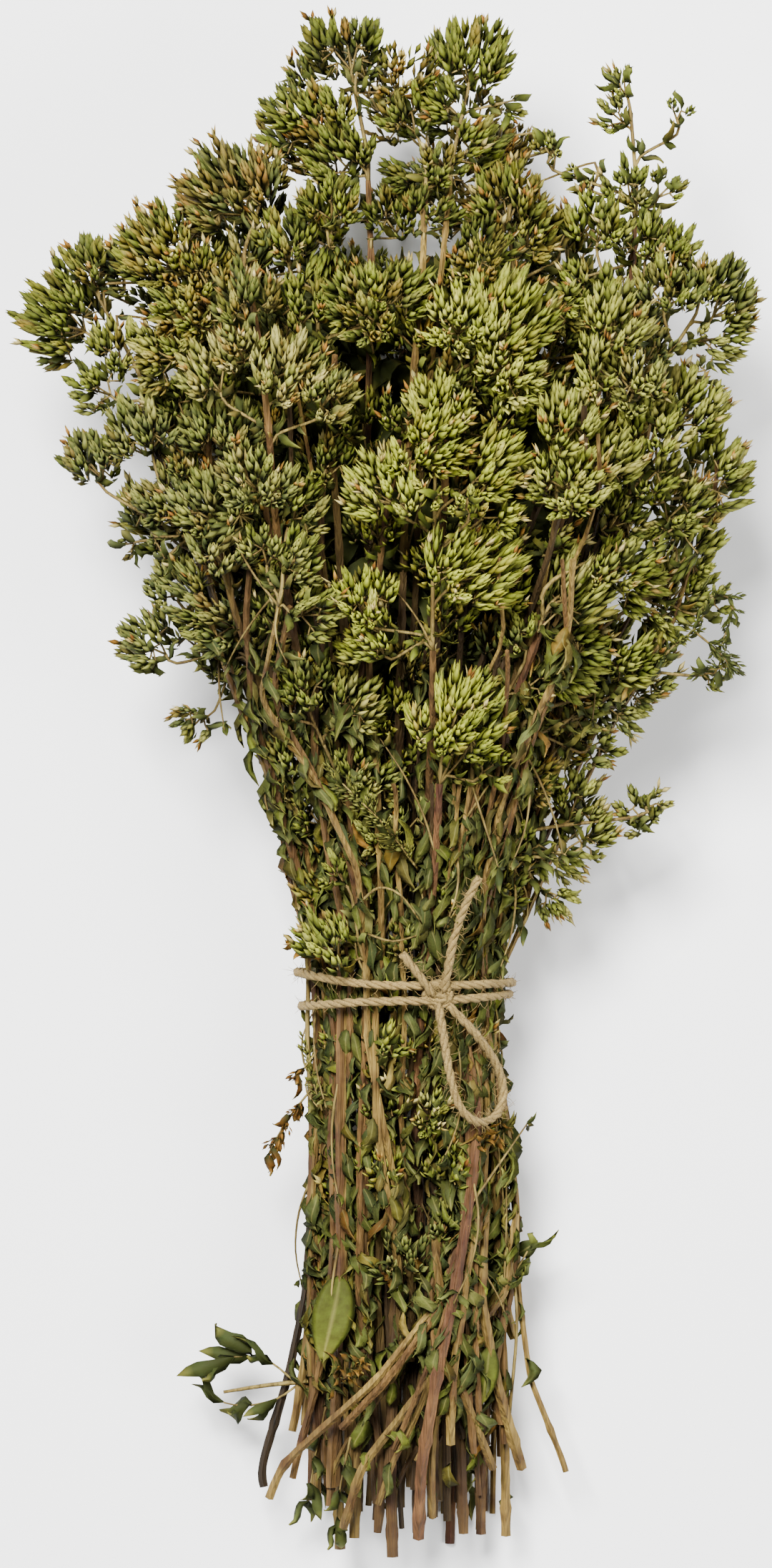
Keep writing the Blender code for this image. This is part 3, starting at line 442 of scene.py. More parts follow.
for number in range(under_stem_count):
    turn = math.pi * (1.1 + 0.8 * (number + chance.uniform(0.2, 0.8)) / under_stem_count)
    out = chance.uniform(0.97, 1.03)
    line = []
    for y in np.arange(chance.uniform(-210, -190), chance.uniform(5, 45), 6) * MM:
        centre_x, half_x, mid_z, half_z = section_at(y)
        swayed = turn + 0.08 * math.sin(y / (40 * MM) + number)
        line.append((centre_x + out * half_x * math.cos(swayed), y,
                     max(mid_z + out * half_z * math.sin(swayed), 1.5 * MM)))
    line = np.array(line)
    thin_lines.append(line)
    side = chance.uniform(*thin_side) * MM
    thin_runs[chance.choice(("pale", "dark"))].append((line, swollen(line, side, thin_taper * side)))
# The inner finish is painted shade: the stems deep in the bundle are drawn darker.
shaded_inner_wood = wood("shaded_inner_stem", (0.05, 0.03, 0.009), (0.02, 0.011, 0.004))
for shade, finish in (("pale", tan_wood), ("dark", brown_wood), ("inner", shaded_inner_wood)):
    stems = swept(f"thin_stems_{shade}", thin_runs[shade], stem_section)
    bpy.ops.object.shade_smooth_by_angle(angle=smooth_below)
    stems.data.materials.append(finish)
    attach(stems, "root")
bpy.data.objects.remove(stem_section)

# Leaves. Small dry leaves, grey-green and curled, hang from the stems below the flowers, fewer of
# them near the cut ends, and three larger ones stand out. Each form is a grid drawn into an oval,
# then folded, rolled or twisted and given its thickness.
leaf_forms = (
    # length, width, fold, roll, twist, wave, curl, in millimetres and degrees
    (15, 4.6, 0.9, 0.3, 60, 0.9, 0.08),
    (14, 3.8, 1.5, 0.5, -110, 0.8, 0.12),
    (12, 5.2, 0.8, 1.1, 50, 1.3, 0.16),
    (17, 3.4, 1.8, 0.3, 150, 0.9, 0.06),
    (11, 4.6, 1.2, 1.4, -70, 1.4, 0.22),
    (13, 3.6, -1.4, 0.8, 110, 1.1, -0.12),
    (10, 5.2, 1.6, 0.6, -120, 1.2, 0.18),
)
leaf_thickness = 0.3


def leaf(length, width, fold, roll, twist, wave, curl, columns=2, rows=5):
    """One leaf that grows along +Z and faces +Y, thin at its edge, as a mesh object."""
    bpy.ops.mesh.primitive_grid_add(x_subdivisions=columns, y_subdivisions=rows, size=1)
    made = bpy.context.object
    along = made.data.attributes.new("along", "FLOAT", "POINT")
    across = made.data.attributes.new("across", "FLOAT", "POINT")
    for k, corner in enumerate(made.data.vertices):
        side, up = 2 * corner.co.x, corner.co.y + 0.5
        half = width / 2 * max(math.sin(math.pi * up**0.8), 0) ** 0.75
        x = side * half
        y = fold * abs(x) * 0.8 - roll * 0.12 * x * x
        ripple = wave * abs(side) * 0.5 * math.sin(9 * up + 2 * side)
        y += ripple + curl * length * math.sin(math.pi * up)
        turn = math.radians(twist) * (up - 0.4)
        corner.co = (x * math.cos(turn) - y * math.sin(turn),
                     x * math.sin(turn) + y * math.cos(turn), up * length)
        along.data[k].value = up
        across.data[k].value = side
    for corner in made.data.vertices:
        corner.co *= MM
    bpy.ops.object.mode_set(mode="EDIT")
    bpy.ops.mesh.select_all(action="SELECT")
    bpy.ops.mesh.remove_doubles(threshold=0.01 * MM)
    bpy.ops.object.mode_set(mode="OBJECT")
    wall = made.modifiers.new("thickness", "SOLIDIFY")
    wall.thickness = leaf_thickness * MM
    bpy.ops.object.modifier_apply(modifier=wall.name)
    bpy.ops.object.mode_set(mode="EDIT")
    bpy.ops.mesh.select_mode(type="VERT")
    bpy.ops.mesh.select_all(action="DESELECT")
    bpy.ops.object.mode_set(mode="OBJECT")
    for k, corner in enumerate(made.data.vertices):
        corner.select = abs(made.data.attributes["across"].data[k].value) > 0.99
    bpy.ops.object.mode_set(mode="EDIT")
    bpy.ops.mesh.remove_doubles(threshold=1.3 * leaf_thickness * MM)
    bpy.ops.object.mode_set(mode="OBJECT")
    return made


def as_pattern(made):
    """A modelled shape as arrays, to be copied many times into one mesh, and then removed."""
    mesh = made.data
    mesh.calc_loop_triangles()
    corners = np.array([corner.co for corner in mesh.vertices])
    faces = np.array([triangle.vertices[:] for triangle in mesh.loop_triangles])
    marks = {}
    for label in ("along", "across", "shade"):
        marks[label] = np.zeros(len(corners))
        if label in mesh.attributes:
            mesh.attributes[label].data.foreach_get("value", marks[label])
    bpy.data.objects.remove(made)
    return corners, faces, marks


def copy_of(pattern, foot, way, facing, size, tone, dry, shade):
    """One copy of a pattern: where its foot is, the way it grows, the way it faces, its marks."""
    way = unit(np.asarray(way, float))
    side = unit(np.cross(facing, way))
    return pattern, np.column_stack((side, np.cross(way, side), way)) * size, foot, tone, dry, shade


def one_mesh(name, copies, material):
    """All the copies as one smooth mesh object, their marks kept as attributes."""
    corners, faces, count = [], [], 0
    marks = {"along": [], "across": [], "shade": [], "tone": [], "dry": []}
    for (points, triangles, own), turned, foot, tone, dry, shade in copies:
        corners.append(points @ turned.T + foot)
        faces.append(triangles + count)
        count += len(points)
        marks["along"].append(own["along"])
        marks["across"].append(own["across"])
        marks["shade"].append(np.clip(own["shade"] + shade, 0, 1))
        marks["tone"].append(np.full(len(points), tone))
        marks["dry"].append(np.full(len(points), dry))
    mesh = bpy.data.meshes.new(name)
    corners = np.vstack(corners)
    corners[:, 2] = np.maximum(corners[:, 2], 0.1 * MM)
    mesh.from_pydata(corners, [], np.vstack(faces))
    for label, values in marks.items():
        mesh.attributes.new(label, "FLOAT", "POINT").data.foreach_set("value", np.concatenate(values))
    mesh.shade_smooth()
    mesh.materials.append(material)
    made = bpy.data.objects.new(name, mesh)
    bpy.context.scene.collection.objects.link(made)
    return made


leaf_greens = ((0.0, (0.024, 0.038, 0.010)), (0.25, (0.068, 0.083, 0.021)), (0.5, (0.080, 0.098, 0.010)),
               (0.75, (0.140, 0.167, 0.012)), (1.0, (0.24, 0.268, 0.018)))
straw_browns = ((0.15, (0.13, 0.04, 0.005)), (0.33, (0.30, 0.12, 0.015)), (0.55, (0.28, 0.20, 0.045)),
                (0.85, (0.50, 0.40, 0.15)))
# Painted highlight and painted shade greens, picked by the shade mark.
sunlit_green, shaded_green = (0.42, 0.41, 0.075, 1), (0.02, 0.025, 0.002, 1)
mottle_brown, rib_green = (0.028, 0.022, 0.003, 1), (0.20, 0.18, 0.05, 1)
# The dark green painted as shade at the foot of each bract and leaf; then the straw of their tips.
foot_shade_green, tip_straw = (0.014, 0.017, 0.002, 1), (0.42, 0.37, 0.07, 1)


def ramp(tree, value, stops):
    """The colour that a value picks from the stops, each a position and its colour."""
    made = add_node(tree, "ShaderNodeValToRGB", {"Fac": value})
    elements = made.color_ramp.elements
    for position, colour in stops[1:-1]:
        elements.new(position).color = (*colour, 1)
    for k in (0, -1):
        elements[k].position = stops[k][0]
        elements[k].color = (*stops[k][1], 1)
    return made.outputs["Color"]


herb, given, result = new_group(
    "dried_herb", (("Mottle", "NodeSocketFloat"), ("Rib", "NodeSocketFloat"),
                   ("Foot shade", "NodeSocketFloat"), ("Tip", "NodeSocketFloat")),
    (("Colour", "NodeSocketColor"), ("Height", "NodeSocketFloat")))
mark = {label: add_node(herb, "ShaderNodeAttribute", attribute_name=label).outputs["Fac"]
        for label in ("along", "across", "shade", "tone", "dry")}
place = add_node(herb, "ShaderNodeTexCoord").outputs["Object"]
off_rib = add_node(herb, "ShaderNodeMath", {0: mark["across"]}, operation="ABSOLUTE").outputs[0]
# The shade mark paints light and shade: above 0.45 it turns the green towards a painted highlight, below
# 0.45 towards a painted shade.
colour = mixed(herb, eased(herb, mark["shade"], 0.45, 1.0, 0.0, 0.5),
               ramp(herb, mark["tone"], leaf_greens), sunlit_green)
colour = mixed(herb, eased(herb, mark["shade"], 0.45, 0.0, 0.0, 0.7), colour, shaded_green)
colour = mixed(herb, mark["dry"], colour, ramp(herb, mark["shade"], straw_browns))
# Mottle, rib and tip are the plant's own marks. The foot of each bract and leaf, where it sits under the
# one before and against the stem, is darkened as painted shade.
for label, mask, tint in (
        ("Mottle", eased(herb, noise(herb, place, 420.0, 3.0), 0.35, 0.7), mottle_brown),
        ("Rib", eased(herb, off_rib, 0.0, 0.16, 0.5, 0.0), rib_green),
        ("Foot shade", eased(herb, mark["along"], 0.22, 0.72, 0.92, 0.0), foot_shade_green),
        ("Tip", eased(herb, mark["along"], 0.7, 1.0, 0.0, 0.6), tip_straw)):
    colour = mixed(herb, product(herb, mask, given[label]), colour, tint)
herb.links.new(colour, result["Colour"])
herb.links.new(noise(herb, place, 1800.0, 2.0), result["Height"])

leaf_green = dry_finish("dry_leaf", herb, {"Mottle": 0.65, "Rib": 1.0, "Foot shade": 0.45, "Tip": 0.25},
                        0.7, 0.12, 0.5, 0.2)
leaf_patterns = [as_pattern(leaf(*form)) for form in leaf_forms]

leaves_per_stem, leaves_per_thin_stem, leaves_per_under_stem = 28, 62, 14
leafy_reach = (-200 * MM, 45 * MM)
sparse_below = -165 * MM


def drawn(chance, spread):
    """A way drawn at random, each of its parts within the spread."""
    return np.array([chance.uniform(-spread, spread) for _ in range(3)])


def held(value):
    """The value, kept between 0 and 1."""
    return min(max(value, 0), 1)


chance = random.Random(5)
leaf_copies = []
leafy_stems = [(line, leaves_per_stem) for line in stem_lines.values()]
leafy_stems += [(line, leaves_per_thin_stem) for line in thin_lines[:thin_stem_count]]
leafy_stems += [(line, leaves_per_under_stem) for line in thin_lines[thin_stem_count:]]
for line, count in leafy_stems:
    low, high = max(line[0, 1] + 6 * MM, leafy_reach[0]), min(line[-1, 1] - 4 * MM, leafy_reach[1])
    for _ in range(count):
        y = chance.uniform(low, high)
        if y < sparse_below and chance.random() < 0.75:
            continue
        foot = point_at(line, y)
        outward = off_axis(foot)
        depth = length_of(outward)
        if depth < 0.5 and chance.random() < 0.65:
            continue
        _, half_x, _, half_z = section_at(y)
        outward = unit(outward * (half_x, 1, half_z))
        sideways = np.cross((0, 1, 0), outward)
        droop = -1 if chance.random() < 0.75 else 1
        aside = chance.choice((-1, 1)) * chance.uniform(0.08, 0.5)
        spread = chance.uniform(0.0, 0.6) if depth < 0.7 else chance.uniform(-0.5, -0.05)
        way = np.array((0, droop, 0)) + aside * sideways + spread * outward
        sunk = min(max(depth - 0.5, 0), 0.4)
        foot = foot + (0.4 * math.copysign(1, aside) * sideways - sunk * outward) * MM
        facing = outward + chance.uniform(-1.2, 1.2) * sideways
        pattern = chance.choice(leaf_patterns)
        tone = held(chance.gauss(0.26, 0.22))
        dry = max(chance.uniform(-0.9, 0.3), 0) if chance.random() < 0.92 else chance.uniform(0.3, 0.8)
        # Leaves deeper in the bundle get a lower shade mark: painted shade.
        leaf_copies.append(copy_of(pattern, foot, way, facing, chance.uniform(0.45, 0.95), tone, dry,
                                   chance.uniform(0.0, 0.6) * min(depth, 1) ** 1.5))

large_leaves = (
    # stem, y of the foot, the tip on the bundle's section, width in millimetres, tone
    (21, -138, (-18, -163, 1.35), 12, 0.55),
    (9, -133, (43, -129, -0.1), 5, 0.1),
    (10, -158, (27, -175, 0.8), 7, 0.6),
)
broad_form = (20, 9, 0.18, 0.1, 12, 0.2, 0.09)
broad_pattern = as_pattern(leaf(*broad_form, columns=6, rows=12))
for number, leaf_y, tip, width, tone in large_leaves:
    foot = point_at(stem_lines[number], leaf_y * MM)
    way = on_section(*tip) - foot
    girth = width / broad_form[1]
    size = np.array((girth, girth, length_of(way) / MM / broad_form[0]))
    leaf_copies.append(copy_of(broad_pattern, foot, way, (0.15, 0.05, 1), size, tone, 0.0, 0.2))

leaves = one_mesh("leaves", leaf_copies, leaf_green)
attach(leaves, "root")
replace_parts(leaves, *[f"stem_{number:02d}" for number in stem_lines])

# Spikelets. The flowers sit in short spikes of dry pointed bracts, in four ranks that overlap.
# One bract is shaped from a three-sided cone, keeled outside and flat inside, and set in pairs.
bract_length, bract_width, bract_depth = 6.8, 2.3, 1.4
spikelet_length = 12
spikelet_forms = (
    # pairs of bracts, how far they open in degrees, seed
    (4, 10, 1), (4, 14, 2), (5, 8, 3), (4, 18, 4),
)
inner_forms = ((3, 16, 5), (3, 24, 6), (4, 12, 7))

bpy.ops.mesh.primitive_cone_add(vertices=3, radius1=1, radius2=0, depth=1, end_fill_type="TRIFAN")
bract = bpy.context.object
bpy.ops.object.mode_set(mode="EDIT")
bpy.ops.mesh.select_mode(type="VERT")
shape = bmesh.from_edit_mesh(bract.data)
for wanted, move in ((lambda at: at.length < 0.6 and at.z < 0, (0, 0, -1.1)),
                     (lambda at: at.y < -0.4, (0, 0.35, 0.1)),
                     (lambda at: at.z > 0.4, (0, -0.35, 0))):
    bpy.ops.mesh.select_all(action="DESELECT")
    for corner in shape.verts:
        corner.select_set(wanted(corner.co))
    bpy.ops.transform.translate(value=move)
bpy.ops.object.mode_set(mode="OBJECT")
along = bract.data.attributes.new("along", "FLOAT", "POINT")
for k, corner in enumerate(bract.data.vertices):
    along.data[k].value = (corner.co.z + 1.6) / 2.1
    corner.co = (corner.co.x * bract_width / 2 * MM, corner.co.y * bract_depth / 2 * MM,
                 (corner.co.z + 1.6) / 2.1 * bract_length * MM)


def spikelet(pairs, opening, seed):
    """A spikelet that grows along +Z: pairs of bracts set crosswise up a hidden stalk."""
    chance = random.Random(seed)
    placed = []
    for pair in range(pairs):
        share = pair / (pairs - 1)
        height = share * (spikelet_length - 0.75 * bract_length) * MM
        size = 0.78 + 0.34 * math.sin(math.pi * min(0.25 + share * 0.7, 1))
        for half_turn in (0, math.pi):
            copy = bpy.data.objects.new("bract_copy", bract.data.copy())
            bpy.context.scene.collection.objects.link(copy)
            turn = half_turn + pair % 2 * math.pi / 2 + chance.uniform(-0.2, 0.2)
            tilt = math.radians(opening * (1.15 - 0.6 * share) + chance.uniform(-4, 4))
            copy.matrix_world = (Matrix.Translation((0, 0, height)) @ Matrix.Rotation(turn, 4, "Z")
                                 @ Matrix.Translation((0, 0.25 * MM, 0))
                                 @ Matrix.Rotation(-tilt, 4, "X") @ Matrix.Scale(size, 4))
            shade = copy.data.attributes.new("shade", "FLOAT", "POINT")
            shade.data.foreach_set("value", [chance.uniform(-0.22, 0.22)] * len(copy.data.vertices))
            placed.append(copy)
    pick(*placed)
    bpy.ops.object.join()
    bpy.ops.object.transform_apply(location=True, rotation=True, scale=True)
    return placed[0]


spikelet_patterns = [as_pattern(spikelet(*form)) for form in spikelet_forms]
inner_patterns = [as_pattern(spikelet(*form)) for form in inner_forms]
bract_pattern = as_pattern(bract)

# Flower tops. Each stem forks into thin branches with small leaves, and each branch ends in a head
# of spikelets in small fans, some with dried flowers. Heads stand where the solid heads' spikelets
# point, and side tops leave their stem lower down.
widest_share, heart_share = 0.45, 0.29
shortest_solid = 2 * MM
head_gap = 4.5 * MM
branch_thick, branch_thin, stalk_thin = 1.35 * MM, 0.85 * MM, 0.5 * MM
forking_angle = math.radians(45)
spikelet_room = 4.5 * MM
longest_spikelet = 13.5 * MM
fan_angle = math.radians(42)
golden_turn = math.pi * (3 - math.sqrt(5))
lean_to_axis = 0.75
tuft_share, packed_share = 0.36, 0.68
twine_band = (-66 * MM, -48 * MM)
furthest_tip = np.array((103.5, 214.5, 136)) * MM
side_tops = {
    # the stem that bears each side top, and the y at which it leaves that stem in millimetres
    25: (21, 92), 26: (24, 50), 27: (20, -25), 28: (2, -50), 29: (3, -100), 30: (14, 60),
    31: (12, 20), 32: (16, 50), 33: (19, 50), 34: (22, 40), 35: (23, 0),
}
top_tones = (
    # tone from grey-green 0 to yellow-green 1, share of dried flowers, for tops 1 to 35
    (0.30, 0.15), (0.50, 0.10), (0.92, 0.22), (0.90, 0.15), (0.55, 0.15), (0.40, 0.25),
    (0.62, 0.25), (0.55, 0.20), (0.60, 0.12), (0.70, 0.30), (0.62, 0.22), (0.42, 0.18),
    (0.66, 0.20), (0.55, 0.10), (0.85, 0.30), (0.62, 0.45), (0.66, 0.15), (0.55, 0.10),
    (0.58, 0.08), (0.60, 0.10), (0.34, 0.40), (0.60, 0.35), (0.60, 0.12), (0.30, 0.12),
    (0.38, 0.35), (0.30, 0.12), (0.50, 0.15), (0.68, 0.30), (0.60, 0.30), (0.50, 0.10),
    (0.50, 0.10), (0.50, 0.10), (0.50, 0.10), (0.45, 0.10), (0.40, 0.10),
)


def heads_of(number):
    """Each head of a solid flower top: its heart, then the ways and the reach of its spikelets.

    A solid spikelet's tip is a corner on three edges, and their other ends ring its widest part.
    """
    shape = joined_solid(f"flower_top_{number:02d}")
    hearts = []
    for tip in shape.verts:
        ring = [edge.other_vert(tip) for edge in tip.link_edges]
        if len(ring) != 3 or not all(shape.edges.get((ring[k], ring[k - 1])) for k in range(3)):
            continue
        middle = np.array(sum((corner.co for corner in ring), Vector()) / 3)
        top = np.array(tip.co)
        if length_of(top - middle) < shortest_solid:
            continue
        root = (middle - widest_share * top) / (1 - widest_share)
        heart = root - heart_share * (top - root)
        for known in hearts:
            if length_of(np.mean([place for place, _ in known], axis=0) - heart) < head_gap:
                known.append((heart, top))
                break
        else:
            hearts.append([(heart, top)])
    shape.free()
    heads = []
    for known in hearts:
        heart = np.mean([place for place, _ in known], axis=0)
        ways = np.array([unit(top - heart) for _, top in known])
        reach = np.array([length_of(top - heart) for _, top in known])
        heads.append((heart, ways, reach))
    return heads


def curve_through(points, step):
    """Points about a step apart on a Catmull-Rom curve through the given ones."""
    ends = [2 * points[0] - points[1], *points, 2 * points[-1] - points[-2]]
    route = [points[0]]
    for a, b, c, d in zip(ends, ends[1:], ends[2:], ends[3:]):
        count = max(1, round(length_of(c - b) / step))
        for t in np.arange(1, count + 1) / count:
            route.append(0.5 * (2 * b + (c - a) * t + (2 * a - 5 * b + 4 * c - d) * t**2
                                + (3 * b - a - 3 * c + d) * t**3))
    return np.array(route)


def fork_of(heart, ways, reach):
    """Where a head's branch forks, below its heart, and the way that the head faces."""
    facing = unit(unit(ways.sum(axis=0)) + (0, 0.5, 0))
    return heart - facing * 0.4 * float(reach.mean()), facing


def head_copies(heart, ways, reach, tone, flowers, withered, chance, patterns, room, painted_shade_and_tone):
    """A head's spikelets in small fans, its dried flowers and the thin stalks that carry them."""
    copies, stalks = [], []
    size = float(reach.mean())
    fork, facing = fork_of(heart, ways, reach)
    tufts = [fork + tuft_share * (heart + way * far - fork) for way, far in zip(ways, reach)]
    stalks += [(np.array((fork, tuft)), (stalk_thin * 1.3, stalk_thin)) for tuft in tufts]
    for tuft in tufts:
        way = unit(unit(tuft - fork) + drawn(chance, 0.9))
        # The tuft leaf takes the head's painted shade too.
        copies.append(copy_of(chance.choice(leaf_patterns), tuft, way, (0.2, -0.2, 1),
                              chance.uniform(0.35, 0.6), 0.8 * tone, max(withered, 0), 0.45 - painted_shade_and_tone))
    around = max(12, round(4 * math.pi * (packed_share * size / room) ** 2))
    turn = chance.uniform(0, 2 * math.pi)
    for k in range(around):
        height = 1 - 2 * (k + 0.5) / around
        ring = math.sqrt(1 - height * height)
        angle = turn + k * golden_turn
        way = unit(np.array((ring * math.cos(angle), ring * math.sin(angle), height))
                   + drawn(chance, 0.14))
        near = int(np.argmax(ways @ way))
        if float(ways[near] @ way) < math.cos(fan_angle) or float(way @ facing) < -0.2:
            continue
        tip = np.minimum(heart + way * reach[near] * chance.uniform(0.8, 0.98), furthest_tip)
        if tip[2] < 1 * MM or twine_band[0] < tip[1] < twine_band[1]:
            continue
        way = unit(unit(tip - tufts[near]) + lean_to_axis * facing * (1, 1, 0.3))
        length = min(length_of(tip - tufts[near]) * chance.uniform(0.82, 1), longest_spikelet)
        root = tip - way * length
        pattern = chance.choice(patterns)
        girth = chance.uniform(0.88, 1.15) * min(1.0, 0.5 + length / (20 * MM))
        own_tone = held(tone + chance.gauss(0, 0.1))
        dry = max(chance.gauss(withered, 0.2), 0)
        # Painted shade: the head's darkening lowers each spikelet's shade mark.
        shade = chance.uniform(0.32, 0.7) - painted_shade_and_tone
        side = drawn(chance, 1)
        form = np.array((girth, girth, length / (spikelet_length * MM)))
        copies.append(copy_of(pattern, root, way, side, form, own_tone, min(dry, 0.6), shade))
        if chance.random() < flowers:
            for _ in range(chance.randint(2, 4)):
                lean = way + drawn(chance, 0.5)
                copies.append(copy_of(bract_pattern, tip - way * 1.8 * MM, lean, side,
                                      chance.uniform(0.5, 0.8), 0.5, chance.uniform(0.75, 1),
                                      chance.uniform(0.1, 1)))
                side = side[[1, 2, 0]]
        stalks.append((np.array((tufts[near], root + way * MM)), (stalk_thin, stalk_thin * 0.9)))
    return copies, stalks


def branches_of(start, growth, heads):
    """The branch to each head: the furthest head's runs on from the stem, the rest fork from it."""
    runs = []
    for head in sorted(heads, key=lambda head: -length_of(head[0] - start)):
        heart, facing = fork_of(*head)
        fork, set_off, thick = start, growth, branch_thick
        if runs:
            spine = runs[0][0]
            travelled = travelled_along(spine)
            cost = math.cos(forking_angle) * travelled + np.linalg.norm(spine - heart, axis=1)
            k = int(np.argmin(np.where(travelled <= 0.85 * travelled[-1], cost, np.inf)))
            fork = spine[k]
            onward = unit(spine[min(k + 1, len(spine) - 1)] - spine[max(k - 1, 0)])
            set_off = unit(unit(heart - fork) + onward)
            thick = branch_thin * 1.15
        gap = length_of(heart - fork)
        points = [fork, fork + set_off * 0.25 * gap, heart - facing * min(4 * MM, 0.3 * gap), heart]
        run = curve_through(points, 2.5 * MM)
        runs.append((run, np.linspace(thick, branch_thin, len(run))))
    return runs


def leaf_pairs(run, tone, chance, spots):
    """Small leaves set in opposite pairs on a branch."""
    pairs = []
    for k in spots:
        if k + 1 >= len(run):
            continue
        along = unit(run[k + 1] - run[k])
        out = unit(np.cross(along, drawn(chance, 1)))
        for side in (out, -out):
            pairs.append(copy_of(chance.choice(leaf_patterns), run[k], 0.8 * along + side,
                                 (0.2, -0.3, 1), chance.uniform(0.3, 0.55),
                                 held(0.7 * tone + chance.gauss(0, 0.1)),
                                 max(chance.gauss(0, 0.15), 0), chance.uniform(0.25, 0.6)))
    return pairs


def flower_piece(name, copies, runs):
    """One piece of spikelets, leaves and the twigs that carry them, on the frame."""
    piece = one_mesh(name, copies, bract_green)
    twigs = swept("twigs", runs)
    twigs.data.shade_smooth()
    twigs.data.materials.append(twig_wood)
    pick(piece, twigs)
    bpy.ops.object.join()
    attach(piece, "root")
    return piece


twig_wood = wood("thin_twig", (0.29, 0.22, 0.06), (0.13, 0.085, 0.02))
bract_green = dry_finish("dry_bracts", herb, {"Mottle": 0.4, "Rib": 0.0, "Foot shade": 1.0, "Tip": 0.45},
                         0.72, 0.12, 0.35, 0.2)
chance = random.Random(23)
forks, branch_points = [], []
for number, (tone, flowers) in enumerate(top_tones, start=1):
    heads = heads_of(number)
    if number in side_tops:
        stem, leaves_at = side_tops[number]
        start = point_at(stem_lines[stem], leaves_at * MM)
        growth = unit(unit(np.mean([heart for heart, _, _ in heads], axis=0) - start) + (0, 0.7, 0))
    else:
        line = stem_lines[number]
        start = line[-1]
        growth = unit(line[-1] - line[-4])
    copies, runs = [], branches_of(start, growth, heads)
    for run, _ in runs:
        branch_points += list(run[1:])
        copies += leaf_pairs(run, tone, chance, (2, len(run) // 2, len(run) - 2))
    withered = 0.2 if flowers > 0.33 else -0.05
    for head in heads:
        forks.append(fork_of(*head)[0])
        # A random tone for each head, darker at the top of the crown, and painted light that makes the
        # heads at the right and at the front paler.
        painted_shade_and_tone = chance.uniform(-0.1, 0.1) + (0.22 if head[0][1] > 130 * MM else 0.0)
        painted_shade_and_tone -= (0.14 if head[0][0] > 35 * MM else 0.0) + (0.08 if head[0][2] > 95 * MM else 0.0)
        head, stalks = head_copies(*head, tone, flowers, withered, chance, spikelet_patterns,
                                   spikelet_room, painted_shade_and_tone)
        copies += head
        runs += stalks
    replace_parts(flower_piece(f"top_{number:02d}", copies, runs), f"flower_top_{number:02d}")

# Inner sprays. Side branches carry smaller heads all through the crown and, fewer of them, down
# between the stems past the twine, each grown from what is near. Crumpled leaves fill the heart of
# the crown, coloured dark as painted shade. The hollows stay dark between the front heads, and the
# openings stay clear.
spray_tries = 9000
spray_room = 13.5 * MM
spray_margin = 11
spray_reach = (9, 12.5)
side_branch = (3 * MM, 45 * MM)
inner_room = 4.8 * MM
spray_bounds = (-150, 200)
spray_bands = (20, 62, 100, 138, 400)
shaded_heart_leaves = 1350
hollows = (
    # x, y and radius in millimetres
    (-2, 113, 9), (-30, 93, 8), (4, 62, 10), (-17, 72, 9), (-16, 45, 9), (26, 50, 8), (-11, 12, 9),
    (12, 18, 8), (30, 22, 8), (20, 76, 8), (-36, 62, 7), (-46, 100, 7), (38, 98, 7),
)
openings = (
    # x, y and radius in millimetres
    (-30, 173, 12), (-6, 157, 9), (4, 182, 9), (8, 151, 9), (23, 160, 6), (-69, 131, 13),
    (-75, 113, 13), (60, 172, 13), (47, 172, 13), (54, 184, 13),
)


def inside(spots, x, y):
    """Whether the point is in one of the round spots."""
    return any(math.hypot(x - spot_x, y - spot_y) < radius for spot_x, spot_y, radius in spots)


def spray_tone(x, y):
    """Grey-green at the left, yellow-green in the middle, olive at the right and below."""
    left = max(min((-25 * MM - x) / (30 * MM), 1), 0)
    middle = math.exp(-((x - 12 * MM) / (35 * MM)) ** 2) * (0.0 if y < 0 else 1.0)
    return 0.52 - 0.2 * left + 0.16 * middle


def spray_painted_shade(x, y):
    """Painted shade, darker in the heart of the crown where the bundle shades itself, and darker at its
    top; painted light, paler at the right.
    """
    heart = math.exp(-((x + 5 * MM) / (38 * MM)) ** 2 - ((y - 80 * MM) / (50 * MM)) ** 2)
    return 0.2 * heart + (0.2 if y > 130 * MM else 0.0) - (0.2 if x > 40 * MM else 0.0)


